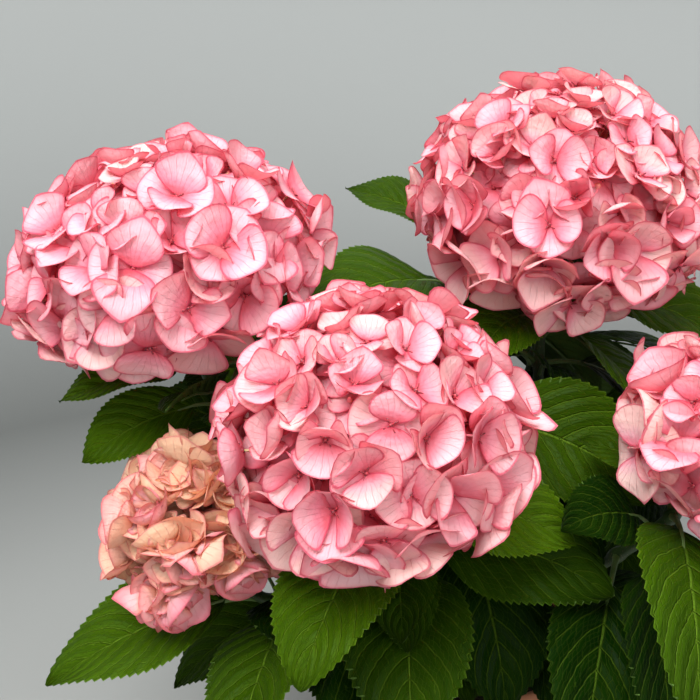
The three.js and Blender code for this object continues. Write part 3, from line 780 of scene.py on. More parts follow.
def leaf_material(name, settings):
    """A blade: thin pale midrib and curved side veins, a fine net and a soft shade between them, on an atlas
    of tints. The tints are painted shade: the first cell is the green of a shaded leaf and the sixth that of
    a lit one. The last two cells are undersides."""
    graph = Graph(name)
    uv, cell, x, y = cell_coordinates(graph, LEAF_CELLS)
    cells = LEAF_CELLS[0] * LEAF_CELLS[1]
    tint = cell / (cells - 3)
    under = cell.step(cells - 2.6, cells - 2.4)
    noise = graph.noise(uv, 9.0, 4.0)
    side = vein_coordinate(abs(x), y) * settings.side_veins + (graph.noise(uv, 13.0) - 0.5) * 0.5
    distance = abs(side - (side + 0.5).floor())
    side_vein = (1 - distance.step(0.012, 0.075)) * (1 - abs(x).step(0.75, 1.0))
    midrib = 1 - (abs(x) / (1.25 - y)).step(0.012, 0.045)
    net_noise = graph.noise(uv, 22.0)
    rungs = (abs(x) * 60 + (net_noise - 0.5) * 20).sine().step(0.8, 1.0)
    cross = (side * 24 + (net_noise - 0.5) * 16).sine().step(0.8, 1.0)
    net = rungs.at_least(cross)
    # Painted shade: the leaf's tint cell takes it from the shaded dark green to the light green
    base = graph.mix(tint, settings.dark_and_shaded_green, settings.light)
    painted_light_share = tint * 0.8 + 0.2
    base = graph.mix(noise.step(0.35, 0.7) * 0.35 * painted_light_share, base, settings.light)
    base = graph.mix((distance * 2) ** 2.0 * 0.3, base, settings.dark_and_shaded_green)
    base = graph.mix(net * (tint * 0.2 + 0.1), base, settings.vein)
    rim = abs(x).step(0.965, 0.995)
    vein = (side_vein * 0.85).at_least(midrib)
    base = graph.mix(vein * (tint * 0.35 + 0.35), base, settings.vein)
    base = graph.mix(rim * 0.55 * painted_light_share, base, settings.vein)
    colour = graph.mix(under * 0.75, base, settings.underside)
    relief = side_vein * -0.8 + midrib * -0.8 + net * -0.5 + (distance * 2) * 0.6 + noise * 0.6
    roughness = 0.36 + noise * 0.2 + under * 0.25
    return graph.finish(colour, roughness, graph.bump(relief, 0.0022, 0.9), 0.04, settings.glow, 0.14)


def vein_coordinate(aside, y):
    """A value that is even along each side vein, y - 0.3 a - 0.08 a^2 at a share a aside: the
    vein leaves the midrib forward and curves on toward the tip."""
    return y - aside * 0.3 - aside**2 * 0.08


def plain_material(name, colour, spread, roughness, scale, relief):
    """One colour mottled toward another by noise on the object's own coordinates, with relief."""
    graph = Graph(name)
    place = graph.place()
    noise = graph.noise(place, scale, 5.0)
    grain = graph.noise(place, scale * 4, 3.0)
    mixed = graph.mix((noise * 0.7 + grain * 0.3).step(0.35, 0.68), colour, spread)
    normal = graph.bump(noise * 0.6 + grain * 0.4, relief, 0.8)
    return graph.finish(mixed, grain * 0.2 + (roughness - 0.1), normal)


def paper_material(settings):
    """A matt backdrop: its tone goes from the floor's through a band of painted shade, darkest about 0.9 m
    out, to the wall's with the distance out."""
    graph = Graph("backdrop_paper")
    place = graph.place()
    out = graph.node("VectorMath", {"operation": "LENGTH"}, {0: place}, "Value")
    stops = [(0.1, settings.floor), (0.3, settings.shade), (0.95, settings.wall)]
    colour = graph.node("ValToRGB", {"stops": stops}, {0: out / 3.0})
    return graph.finish(colour, 0.9)


def stem_material(settings):
    """Green stems that turn to brown bark near the soil, with pale flecks on the green."""
    graph = Graph("stem_skin")
    place = graph.place()
    _, _, height = graph.parts(place)
    noise = graph.noise(place, 60.0, 5.0)
    stretched = graph.node("Mapping", {}, {"Vector": place, "Scale": (900.0, 900.0, 260.0)})
    flecks = graph.node("TexVoronoi", {}, {"Vector": stretched, "Scale": 1.0}, "Distance")
    fleck = 1 - flecks.step(0.12, 0.22)
    woody = 1 - (height * 1000 + noise * 60).step(SOIL_TOP + 62, SOIL_TOP + 120)
    green = graph.mix(noise.step(0.35, 0.7), settings.green, settings.green_pale)
    green = graph.mix(fleck * 0.55, green, settings.fleck)
    bark = graph.mix(noise.step(0.4, 0.62), settings.bark, settings.bark_pale)
    colour = graph.mix(woody, green, bark)
    normal = graph.bump(noise * (woody * 0.8 + 0.2) + fleck * 0.3, 0.0006, 0.7)
    return graph.finish(colour, 0.45 + woody * 0.35, normal)


def clay_material(settings):
    """Fired clay with fine grain and pale lime bloom in patches."""
    graph = Graph("terracotta")
    place = graph.place()
    _, _, height = graph.parts(place)
    broad = graph.noise(place, 14.0, 6.0)
    grain = graph.noise(place, 420.0, 3.0)
    rings = graph.node("Mapping", {}, {"Vector": place, "Scale": (4.0, 4.0, 420.0)})
    throwing = graph.noise(rings, 1.0, 2.0)
    colour = graph.mix(broad.step(0.35, 0.7), settings.clay, settings.clay_dark)
    bloom = (graph.noise(place, 26.0, 8.0) + (1 - height * 9) * 0.12).step(0.56, 0.74)
    colour = graph.mix(bloom * 0.45, colour, settings.lime)
    colour = graph.mix(grain.step(0.6, 0.75) * 0.3, colour, settings.clay_dark)
    normal = graph.bump(grain * 0.4 + throwing * 0.9 + broad * 0.2, 0.0006, 0.8)
    return graph.finish(colour, 0.78 + bloom * 0.15, normal)


# Settings that a user would change


def length_property(name, description, millimetres):
    return FloatProperty(name=name, description=description, default=millimetres * MM, unit="LENGTH")


def power_property(name, watts):
    return FloatProperty(name=name, description="Power of the lamp", default=watts, unit="POWER")


def colour_property(name, value):
    return FloatVectorProperty(
        name=name, description=name + ", linear", default=value, size=3, subtype="COLOR", min=0, max=1
    )


class PetalSettings(bpy.types.PropertyGroup):
    floret_radius: length_property("Floret radius", "From the eye to a sepal's tip, low on a head", 21)
    cover: FloatProperty(
        name="Cover", description="Florets' discs over the head's own area", default=1.42, min=0.2
    )
    thickness: length_property("Sepal thickness", "Between a sepal's two faces", 0.3)
    # The claw to cream colours are partly the sepals' own and partly painted shade toward the claw and
    # painted highlight on the outer parts
    deep: colour_property("Claw", (0.64, 0.07, 0.09))
    warm: colour_property("Warm pink", (0.86, 0.21, 0.28))
    pink: colour_property("Pink", (0.94, 0.37, 0.48))
    pale: colour_property("Pale pink", (0.97, 0.65, 0.72))
    cream: colour_property("Cream", (0.99, 0.84, 0.77))
    margin: colour_property("Margin and veins", (0.56, 0.045, 0.12))
    young: colour_property("Young salmon", (0.98, 0.54, 0.40))
    straw: colour_property("Young straw", (0.99, 0.79, 0.55))
    bud: colour_property("Bud green", (0.84, 0.52, 0.26))
    glow: colour_property("Light through a sepal", (1.0, 0.42, 0.47))
    glow_young: colour_property("Light through a young sepal", (1.0, 0.60, 0.43))
    eye: colour_property("Eye", (0.10, 0.02, 0.03))
    stalk: colour_property("Flower stalks", (0.42, 0.36, 0.16))


class LeafSettings(bpy.types.PropertyGroup):
    thickness: length_property("Blade thickness", "Between a blade's two faces", 0.5)
    teeth: IntProperty(name="Teeth", description="Along each side of a blade", default=24, min=6)
    side_veins: IntProperty(name="Side veins", description="Along each side of the midrib", default=8, min=3)
    quilt: length_property("Quilting", "Rise of the blade between its side veins", 0.9)
    # Partly the blade's own dark green, partly painted shade: the colour of leaves that lie in shade
    dark_and_shaded_green: colour_property("Dark green", (0.0025, 0.016, 0.0003))
    light: colour_property("Light green", (0.066, 0.142, 0.0015))
    vein: colour_property("Vein", (0.15, 0.27, 0.02))
    underside: colour_property("Underside", (0.09, 0.16, 0.04))
    glow: colour_property("Light through a blade", (0.05, 0.15, 0.001))
    # Leaf stalks are dark: partly their own green, partly painted shade inside the crown
    stalk: colour_property("Leaf stalks", (0.07, 0.135, 0.022))
    stalk_pale: colour_property("Pale on the leaf stalks", (0.12, 0.19, 0.05))


class StemSettings(bpy.types.PropertyGroup):
    # Stems are dark: partly their own green, partly painted shade inside the crown
    green: colour_property("Green", (0.015, 0.04, 0.005))
    green_pale: colour_property("Pale green", (0.035, 0.075, 0.012))
    fleck: colour_property("Flecks", (0.28, 0.13, 0.09))
    bark: colour_property("Bark", (0.10, 0.06, 0.035))
    bark_pale: colour_property("Pale bark", (0.24, 0.17, 0.10))


class PotSettings(bpy.types.PropertyGroup):
    height: length_property("Height", "Foot to rim", 155)
    rim_radius: length_property("Rim radius", "Outside", 102)
    foot_radius: length_property("Foot radius", "Outside", 67)
    collar: length_property("Collar", "Height of the rim's band", 36)
    wall: length_property("Wall", "Thickness", 7)
    clay: colour_property("Clay", (0.50, 0.20, 0.10))
    clay_dark: colour_property("Darker clay", (0.36, 0.13, 0.065))
    lime: colour_property("Lime bloom", (0.62, 0.47, 0.38))
    soil: colour_property("Soil", (0.022, 0.014, 0.009))
    soil_pale: colour_property("Fibres in the soil", (0.09, 0.055, 0.03))
    grain: colour_property("White grains", (0.62, 0.60, 0.55))
    grain_dark: colour_property("Shade on the white grains", (0.45, 0.43, 0.38))


class StageSettings(bpy.types.PropertyGroup):
    floor: colour_property("Floor", (0.24, 0.247, 0.238))
    # Painted shade: a darker band of the backdrop about 0.9 m out from the middle
    shade: colour_property("Shade", (0.09, 0.0945, 0.09))
    wall: colour_property("Wall", (0.435, 0.449, 0.441))
    key: power_property("Key light", 84)
    fill: power_property("Fill light", 17.3)
    top: power_property("Top light", 46)
    back: power_property("Back light", 11)
    sky: FloatProperty(name="Sky", description="Strength of the even light", default=0.5)
    sky_tint: colour_property("Sky tint", (0.93, 0.97, 1.0))


def user_settings(name):
    """The settings of one group, as the panel shows them."""
    return getattr(bpy.context.scene, "hydrangea_" + name)


# Pieces


class Plant:
    """The grown stems and leaves, worked out once for every operator."""

    grown = None

    @classmethod
    def get(cls):
        if cls.grown is None:
            cls.grown = grow()
        return cls.grown


def leaf_tints(leaves, rng):
    """A tint cell for each leaf, as painted shade: light for the top pairs of a stem, darker further down,
    where the leaves lie in shade.
    """
    rank = np.array([INNER_RANK if leaf["rank"] is None else leaf["rank"] for leaf in leaves])
    level = np.array([4.0, 3.0, 1.0, 0.2])[np.minimum(rank, 3)]
    level += [LEAF_PAINTED_SHADE.get(leaf["shoot"], 0) for leaf in leaves]
    return np.clip(level + rng.uniform(-0.6, 1.3, len(leaves)), 0, 5).astype(int)


def blades(leaves, rows, columns, look):
    """Every blade at once, (leaves, rows, columns, 3): the midrib plus the half width times v
    along the side, with a fold of 16 degrees at the midrib that flattens outward, margins that
    wave, teeth that lean forward, cushions that rise between the side veins, a sunken midrib and
    a droop that grows with the square of the share past 0.55. Returns the points, v and s."""
    rng = np.random.default_rng(11)
    frames = [blade_frame(leaf["node"], leaf["leaf"], rows - 1) for leaf in leaves]
    mid, across, upward, forward = (
        np.stack([f[key] for f in frames])[:, :, None] for key in ("mid", "across", "upward", "along")
    )
    length = np.array([f["length"] for f in frames])[:, None, None, None]
    s = np.linspace(0, 1, rows)[None, :, None, None]
    bend = np.linspace(1, -1, columns)
    v = (np.sign(bend) * np.abs(bend) ** 0.9)[None, None, :, None]
    aside = np.abs(v)
    half = np.maximum(blade_outline(s), 0.012) * LEAF_WIDTH * length / 2
    tooth = np.where(np.arange(rows) % 2 == 1, 1.0, -0.2)[None, :, None, None]
    ease = np.clip((s - 0.06) / 0.1, 0, 1) * np.clip((1.0 - s) / 0.05, 0, 1)
    edge = aside**14
    scale = 1 + BLADE["tooth"] * tooth * ease * edge
    phase = rng.uniform(0, 2 * np.pi, (len(leaves), 1, 1, 1))
    waves = rng.uniform(1.0, 1.7, (len(leaves), 1, 1, 1))
    wave = np.sin(2 * np.pi * waves * s + phase + np.sign(v) * 0.8) * aside**2 * BLADE["wave"] * length
    fold = np.tan(np.radians(LEAF_FOLD)) * half * (aside - BLADE["flatter"] * aside**3)
    cushion = vein_coordinate(aside, s) * look.side_veins
    puff = np.abs(np.sin(np.pi * cushion)) ** 0.8 - 0.6
    quilt = look.quilt / MM * puff * (1 - aside**6) * np.clip(half / 14, 0.1, 1)
    rib = BLADE["rib"] * np.exp(-((aside * half / BLADE["rib_width"]) ** 2)) * np.clip(half / 8, 0, 1)
    droop = BLADE["droop"] * length * np.clip(s - 0.55, 0, 1) ** 2
    lift = fold + wave + quilt - rib - droop
    lean = forward * (BLADE["forward"] * length * tooth * ease * edge)
    return mid + across * v * half * scale * np.cos(np.radians(LEAF_FOLD)) + upward * lift + lean, v, s


def add_leaves(faces, leaves, look, teeth, columns):
    rows = 2 * teeth + 1
    points, v, s = blades(leaves, rows, columns, look)
    rng = np.random.default_rng(5)
    tint = leaf_tints(leaves, rng)[:, None, None]
    x = np.broadcast_to(v[..., 0], (len(leaves), rows, columns))
    y = np.broadcast_to(s[..., 0], (len(leaves), rows, columns))
    uv = cell_uv(LEAF_CELLS, tint, x, y)
    under = cell_uv(LEAF_CELLS, 6 + tint % 2, x, y)
    faces.add_shells(points, uv, look.thickness / MM, 0, under)


def petiole_paths(leaves, steps):
    """From inside the stem to the blade's foot, by a quadratic curve that arrives along the blade,
    and on just under the midrib. The radius falls with the length run to the power 0.8, and
    swells where the stalk leaves the stem."""
    paths = []
    radii = []
    t = np.linspace(0, 1, steps)[:, None]
    ribs = STALK["ribs"]
    share = np.linspace(0, 1, steps + ribs)
    taper = STALK["foot"] - STALK["taper"] * share**0.8
    collar = STALK["collar"] * np.exp(-((share / 0.06) ** 2))
    eased = np.clip(np.arange(1, ribs + 1) / STALK["eased"], 0, 1)
    for leaf in leaves:
        frame_of = blade_frame(leaf["node"], leaf["leaf"], 24)
        base = frame_of["base"]
        ahead = frame_of["along"][0]
        bend = base - ahead * 0.5 * np.linalg.norm(base - leaf["node"])
        stalk = curve(t, leaf["node"], bend, base)
        radius = taper * np.clip(frame_of["length"] / 100, 0.75, 1.1) + collar
        sink = (radius[steps:] + STALK["sunk"]) * eased
        rib = (frame_of["mid"] - frame_of["upward"] * np.pad(sink, (2, 25 - 2 - ribs))[:, None])[2 : 2 + ribs]
        radii.append(radius)
        paths.append(np.concatenate([stalk, rib]))
    return np.stack(paths), np.stack(radii)


def stem_tubes(faces, stems):
    """Every stem, from inside the woody foot to its head or its tip, swollen at its nodes."""
    steps = 90
    for name, shoot in SHOOTS.items():
        stem = stems[name]
        s = np.linspace(-4, stem["length"] + 0.25 * shoot["radius"], steps)
        start = unit(along(stem, 4.0) - along(stem, 0.0))
        axis = head_axis(shoot)
        path = along(stem, s)
        path = np.where(s[:, None] < 0, along(stem, 0.0) + start * s[:, None], path)
        over = s[:, None] - stem["length"]
        path = np.where(over > 0, along(stem, stem["length"]) + axis * over, path)
        radius = np.interp(s, [0, stem["length"]], STEM_RADIUS)
        nodes = np.array([below(shoot, stem, pair[0]) for pair in shoot["pairs"]])
        swell = np.exp(-(((s[:, None] - nodes) / NODE["reach"]) ** 2))
        radius = radius + NODE["swelling"] * swell.sum(axis=1)
        faces.add_tubes(path[None], radius[None], 10)


def buds(faces, stems):
    """A pointed, slightly flat bud at the tip of each stem that has no head."""
    for name, shoot in SHOOTS.items():
        if shoot["radius"] > 0:
            continue
        stem = stems[name]
        axis = head_axis(shoot)
        tip = stem["points"][-1]
        share = np.linspace(0, 1, 9)
        path = tip + axis * (share * 14 - 2)[:, None]
        radius = 4.0 * np.sin(np.pi * np.clip(share * 0.9 + 0.1, 0, 1) ** 0.8) + 0.25
        faces.add_tubes(path[None], radius[None], 8, 0, 0.75)


def woody_foot(faces):
    """The low trunk: rings round a line that leans a little, from the flat cut on the soil up,
    whose radius goes straight between the profile's points, times 1 and two sines of the angle
    for the ridges. A low dome, 1 - share^2 high at a share of the top ring's radius, caps it."""
    share = np.array([0, 0.03, 0.08, 0.14, 0.22, 0.36, 0.5, 0.64, 0.76, 0.88, 0.96, 1.0])[:, None]
    radius = np.interp(share, *zip(*FOOT_PROFILE))
    angle = np.linspace(0, 2 * np.pi, 49)
    first, second = FOOT["ridges"]
    ridge = 1 + first * np.sin(angle * 7 + share * 6) + second * np.sin(angle * 13 + 1)
    line = share[..., None] * (FOOT["lean"], -FOOT["lean"], FOOT["height"]) + (0, 0, SOIL_TOP + FOOT["lift"])
    rings = line + (radius * ridge)[..., None] * heading(np.degrees(angle), 0)
    add_surface(faces, rings)
    inward = np.linspace(1, 0.02, 4)[:, None, None]
    cap = line[-1] + inward * (rings[-1] - line[-1])
    add_surface(faces, cap + (1 - inward**2) * (0, 0, FOOT["cap"]))


def add_surface(faces, grid, material=0, flip=False):
    """An open grid of points, (rows, columns, 3), as one smooth surface."""
    rows, columns, _ = grid.shape
    quads = quads_of(np.arange(rows * columns).reshape(rows, columns))
    u, v = np.meshgrid(np.linspace(0, 1, columns), np.linspace(0, 1, rows))
    uv = np.stack([u, v], -1).reshape(-1, 2)
    if flip:
        quads = quads[:, ::-1]
    faces.add(grid.reshape(-1, 3), quads, uv[quads], material)


# Florets


def floret_frames(outward, turn):
    """Two directions in each floret's own plane, turned about its outward direction."""
    guide = np.array([0.3, 0.2, 1.0])
    one = unit(np.cross(guide, outward))
    two = np.cross(outward, one)
    c, s = np.cos(turn)[:, None], np.sin(turn)[:, None]
    return one * c + two * s, two * c - one * s


def disc(rows):
    """A square grid drawn onto the unit disc: a = p sqrt(1 - q^2 / 2), b = q sqrt(1 - p^2 / 2)."""
    q, p = np.meshgrid(np.linspace(-1, 1, rows), np.linspace(-1, 1, rows), indexing="ij")
    return p * np.sqrt(1 - q * q / 2), q * np.sqrt(1 - p * p / 2)


def sepals(centre, outward, turn, length, cup, curl, bowl, rng, rows=7):
    """Four sepals a floret, (4 n, rows, rows, 3), each a disc (a, b) bent as it goes out. The
    slope runs evenly from cup at the claw to curl at the tip, so at a share t = (b + 1) / 2 it
    has gone out (sin(slope) - sin(cup)) / (curl - cup) lengths and up (cos(cup) - cos(slope)) /
    (curl - cup). The half width is a times the sepal's own share, less toward the claw, the
    sides rise by bowl a^2 along the sepal's normal, and the margin waves. Two opposite sepals lie
    outside the other two: they open a little more and their sides rise less."""
    n = len(centre)
    one, two = floret_frames(outward, turn)
    order = np.arange(4)
    azimuth = order * np.pi / 2 + rng.normal(0, 0.11, (n, 4))
    size = (length[:, None] * rng.uniform(0.84, 1.1, (n, 4)))[..., None, None]
    outer = np.where(order % 2 == 0, 1.0, 0.0)
    opens = outer * SEPAL["opens"]
    tilt = (cup[:, None] - opens + rng.normal(0, 0.05, (n, 4)))[..., None, None]
    end = (curl[:, None] - opens + rng.normal(0, 0.12, (n, 4)))[..., None, None]
    end = np.where(np.abs(end - tilt) < 0.02, tilt + 0.02, end)
    roll = rng.normal(0, 0.1, (n, 4, 1))
    phase = rng.uniform(0, 2 * np.pi, (n, 4, 1, 1))
    point = np.clip(rng.normal(0.06, 0.12, (n, 4)), 0, 0.28)[..., None, None]
    radial = one[:, None] * np.cos(azimuth)[..., None] + two[:, None] * np.sin(azimuth)[..., None]
    tangent = two[:, None] * np.cos(azimuth)[..., None] - one[:, None] * np.sin(azimuth)[..., None]
    lift = np.broadcast_to(outward[:, None], radial.shape)
    side = tangent * np.cos(roll) + lift * np.sin(roll)
    a, b = disc(rows)
    t = (b + 1) / 2 + point * np.clip(b, 0, 1) ** 3 * (1 - np.abs(a))
    slope = tilt + (end - tilt) * t
    reach = ((np.sin(slope) - np.sin(tilt)) / (end - tilt) + 0.05) * size
    rise = (np.cos(tilt) - np.cos(slope)) / (end - tilt) * size
    half = SEPAL["half"] * size * (1 - SEPAL["claw"] * (1 - np.clip(t, 0, 1)) ** 3)
    edge = (a * a + b * b) ** 3
    around = np.arctan2(a, b)
    slow, quick = SEPAL["waves"]
    wave = (slow * np.sin(3 * around + phase) + quick * np.sin(5 * around + 2 * phase)) * size * edge
    flatter = (1 - SEPAL["flatter"] * outer)[None, :, None, None]
    hollow = bowl[:, None, None, None] * flatter * a * a * half + wave
    rise = rise + (1 - outer)[None, :, None, None] * SEPAL["above"]
    radial, lift, side = (way[:, :, None, None] for way in (radial, lift, side))
    normal = lift * np.cos(slope)[..., None] - radial * np.sin(slope)[..., None]
    points = (
        centre[:, None, None, None]
        + radial * reach[..., None]
        + lift * rise[..., None]
        + side * (a * half)[..., None]
        + normal * hollow[..., None]
    )
    shape = (4 * n, rows, rows)
    x = np.broadcast_to(a, (n, 4, rows, rows)).reshape(shape)
    y = np.broadcast_to((b + 1) / 2, (n, 4, rows, rows)).reshape(shape)
    return points.reshape(*shape, 3), x, y


def dome(shoot, count, level, reach, rng):
    """Places on a golden-angle spiral over a head, down to an angle reach from its axis, a little
    closer at the top: each place is level of the way out to the head's surface, with its outward
    direction."""
    up = shoot.get("up", HEAD_UP)
    down = shoot.get("down", HEAD_DOWN)
    axis = head_axis(shoot)
    i = np.arange(count) + 0.5
    cap = 1 - math.cos(math.radians(reach))
    polar = np.arccos(1 - cap * (i / count) ** 1.14) + rng.normal(0, 0.035, count)
    around = GOLDEN_ANGLE * i + rng.normal(0, 0.06, count)
    ball = np.stack([np.sin(polar) * np.cos(around), np.sin(polar) * np.sin(around), np.cos(polar)], -1)
    share = np.where(ball[:, 2] > 0, up, down)
    place = ball * np.stack([np.ones(count), np.ones(count), share], -1)
    outward = unit(ball / np.stack([np.ones(count), np.ones(count), share], -1))
    one = unit(np.cross(np.array([0.0, 1.0, 0.0]), axis))
    frame_of = np.stack([one, np.cross(axis, one), axis])
    centre = np.array(shoot["head"], float) + (place * level * shoot["radius"]) @ frame_of
    return centre, outward @ frame_of, polar


def floret_sites(name, shoot, look, rng):
    """The florets of an open head: an outer layer whose discs overlap, and a deeper one that
    shows in the gaps. Along the spiral every third floret stands a little out and every third
    as far in, so that neighbours lie over and under each other. Those that would lie in another
    head's space are left out."""
    radius = look.floret_radius / MM
    area = 4 * math.pi * shoot["radius"] ** 2 * 0.72
    count = int(look.cover * area / (math.pi * (0.9 * radius) ** 2))
    outer_level, deep_level = (1 - FLORETS[layer] / shoot["radius"] for layer in ("outer", "deep"))
    outer = dome(shoot, count, outer_level, FLORETS["outer_reach"], rng)
    inner = dome(shoot, int(count * FLORETS["deep_share"]), deep_level, FLORETS["deep_reach"], rng)
    centre = np.concatenate([outer[0], inner[0]])
    outward = np.concatenate([outer[1], inner[1]])
    polar = np.concatenate([outer[2], inner[2]])
    deep = np.concatenate([np.zeros(len(outer[0]), bool), np.ones(len(inner[0]), bool)])
    stack = np.concatenate([np.arange(len(outer[0])) % 3 - 1, np.zeros(len(inner[0]))])
    centre = centre + outward * (FLORETS["stack"] * stack)[:, None]
    keep = np.ones(len(centre), bool)
    for other, rival in SHOOTS.items():
        if other != name:
            keep &= ~inside_head(centre, rival, 0.5 * radius)
    return centre[keep], outward[keep], polar[keep], deep[keep]


def open_head(faces, name, shoot, look, rng):
    """An open head's florets, their eyes and stalks. High ones are cups, and low ones lie flat or fold back;
    the tint goes from pink to cream down the head. Florets near the top are painted paler, a painted
    highlight, and the deeper layer is painted pinker, a painted shade in the head's gaps."""
    centre, outward, polar, deep = floret_sites(name, shoot, look, rng)
    n = len(centre)
    centre = centre + outward * rng.normal(0, 0.8, (n, 1))
    outward = unit(outward + rng.normal(0, 0.17, (n, 3)))
    low = np.clip((polar - 1.0) / 0.9, 0, 1)
    top = np.clip(1 - polar / 0.9, 0, 1)
    large = np.clip((polar - 0.3) / 1.5, 0, 1)
    length = look.floret_radius / MM * (0.74 + 0.34 * large) * rng.uniform(0.86, 1.08, n)
    length = length * np.where(deep, 0.9, 1)
    bowled = np.where(deep, 0.15, np.clip(rng.normal(0.86, 0.26, n) - 0.45 * low, 0, 1))
    cup = 0.12 + 0.3 * bowled + rng.normal(0, 0.1, n)
    curl = -0.35 + 1.6 * bowled + rng.normal(0, 0.2, n)
    bowl = 0.1 + 0.42 * bowled
    seat = centre - outward * (np.sin((cup + np.clip(curl, 0, 2)) / 2) * length * 0.5)[:, None]
    turn = rng.uniform(0, 2 * np.pi, n)
    # Cream lower down is the florets' own tint; the top term is a painted highlight, the deep layer's 0.35 a
    # painted shade, and the head's tone partly painted light
    tint_and_light = 0.32 + HEAD_TONE_AND_LIGHT.get(name, 0) + 0.42 * low + 0.28 * top + rng.normal(0, 0.22, n)
    tint_and_light = np.clip(tint_and_light, 0, 1) * np.where(deep, 0.35, 1)
    for layer, rows in ((~deep, 7), (deep, 5)):
        shape = (values[layer] for values in (seat, outward, turn, length, cup, curl, bowl))
        points, x, y = sepals(*shape, rng, rows)
        add_sepals(faces, points, x, y, tint_and_light[layer], look, rng)
    eyes(faces, seat, outward, np.full(n, 1.4), 1)
    stamens(faces, seat[~deep], outward[~deep], turn[~deep], 1)
    stalks(faces, shoot, seat, outward, 2, rng)


def add_sepals(faces, points, x, y, tint_and_light, look, rng):
    """Sepals, four to each value of tint_and_light, whose tint goes from pink at 0 to cream at 1. On open
    heads the value also holds painted light and shade.
    """
    tint = (tint_and_light[:, None] + rng.normal(0, 0.12, (len(tint_and_light), 4))) * TINTS
    tint = np.clip(tint, 0, TINTS).astype(int).reshape(-1, 1, 1)
    faces.add_shells(points, cell_uv(PETAL_CELLS, tint, x, y), look.thickness / MM)


def eyes(faces, seat, outward, radius, material):
    """A small domed bead in the middle of each floret."""
    share = np.linspace(0, 1, 4)
    path = seat[:, None] + outward[:, None] * (share * 2.2 - 0.3)[None, :, None] * radius[:, None, None]
    width = radius[:, None] * np.array([0.7, 1.0, 0.8, 0.2])
    faces.add_tubes(path, width, 6, material)


def stamens(faces, seat, outward, turn, material):
    """Four short threads from each floret's middle, between its sepals, like a small cross."""
    one, two = floret_frames(outward, turn + np.pi / 4)
    for quarter in np.arange(4) * np.pi / 2:
        away = one * np.cos(quarter) + two * np.sin(quarter)
        ends = np.stack([seat + outward * 1.2, seat + outward * 2.4 + away * 3.8], axis=1)
        faces.add_tubes(ends, np.broadcast_to([0.5, 0.35], (len(seat), 2)), 4, material)


def stalks(faces, shoot, seat, outward, material, rng):
    """A thin stalk from each floret back to one of the head's rays: a quadratic curve."""
    axis = head_axis(shoot)
    centre = np.array(shoot["head"], float)
    root = centre - axis * 0.25 * shoot["radius"]
    hub = root + (seat - root) * rng.uniform(0.28, 0.42, (len(seat), 1))
    t = np.linspace(0, 1, 5)[None, :, None]
    bend = seat - outward * 14
    path = curve(t, hub[:, None], bend[:, None], (seat - outward * 0.2)[:, None])
    radius = np.broadcast_to(np.linspace(0.9, 0.7, 5), (len(seat), 5))
    faces.add_tubes(path, radius, 4, material)
    rays = 16
    ends, _, _ = dome(shoot, rays, 0.5, 105, rng)
    foot = centre - axis * HEAD_FOOT * shoot["radius"]
    path = foot + (ends[:, None] - foot) * np.linspace(0, 1, 5)[None, :, None]
    faces.add_tubes(path, np.broadcast_to(np.linspace(2.2, 1.2, 5), (rays, 5)), 6, material)


def little_buds(faces, shoot, material, count, rng):
    """Small unopened buds that show in the gaps between florets."""
    centre, outward, _ = dome(shoot, count, 0.74, 108, rng)
    share = np.linspace(0, 1, 5)
    path = centre[:, None] + outward[:, None] * (share * 5)[None, :, None]
    width = rng.uniform(1.1, 2.0, (count, 1)) * np.array([0.5, 1.0, 1.05, 0.7, 0.1])
    faces.add_tubes(path, width, 6, material)


def clusters(shoot, count, each, rng):
    """Places of florets in small clusters: the clusters lie on a dome 0.6 of the way out, and
    each spreads its florets over a cap of a ball about its own middle."""
    middle, outward, _ = dome(shoot, count, 0.6, 122, rng)
    one, two = floret_frames(outward, rng.uniform(0, 2 * np.pi, count))
    i = np.arange(each) + 0.5
    polar = np.arccos(1 - (1 - math.cos(math.radians(YOUNG["cap"]))) * i / each)[:, None]
    around = (GOLDEN_ANGLE * i)[:, None]
    away = (
        outward[:, None] * np.cos(polar)
        + (one[:, None] * np.cos(around) + two[:, None] * np.sin(around)) * np.sin(polar)
    )
    return (middle[:, None] + away * YOUNG["ball"]).reshape(-1, 3), away.reshape(-1, 3)


def young_head(faces, shoot, look, rng):
    """A head still opening: clusters of cupped florets like small roses, each with a smaller and
    tighter ring of sepals inside the outer one; straw-coloured above, pinker below."""
    outer = clusters(shoot, YOUNG["clusters"], YOUNG["each"], rng)
    inner = dome(shoot, YOUNG["inner"], 0.4, 110, rng)
    centre, outward = (np.concatenate(pair) for pair in zip(outer, inner[:2]))
    count = len(centre)
    centre = centre + outward * rng.normal(0, 1.8, (count, 1))
    outward = unit(outward + rng.normal(0, 0.2, (count, 3)))
    length = rng.uniform(18, 23, count)
    cup = rng.uniform(0.15, 0.45, count)
    curl = rng.uniform(1.5, 2.0, count)
    bowl = rng.uniform(0.45, 0.75, count)
    turn = rng.uniform(0, 2 * np.pi, count)
    seat = centre - outward * 8
    high = (centre[:, 2] - shoot["head"][2]) / shoot["radius"]
    tint_and_light = np.clip(0.55 + 0.45 * high + rng.normal(0, 0.24, count), 0, 1)
    for size, turned_by in ((1.0, 0.0), (0.62, 0.8)):
        points, x, y = sepals(seat, outward, turn + turned_by, length * size, cup, curl, bowl, rng)
        add_sepals(faces, points, x, y, tint_and_light, look, rng)
    eyes(faces, seat, outward, np.full(count, 1.2), 1)
    stalks(faces, shoot, seat, outward, 2, rng)


# Pot and soil


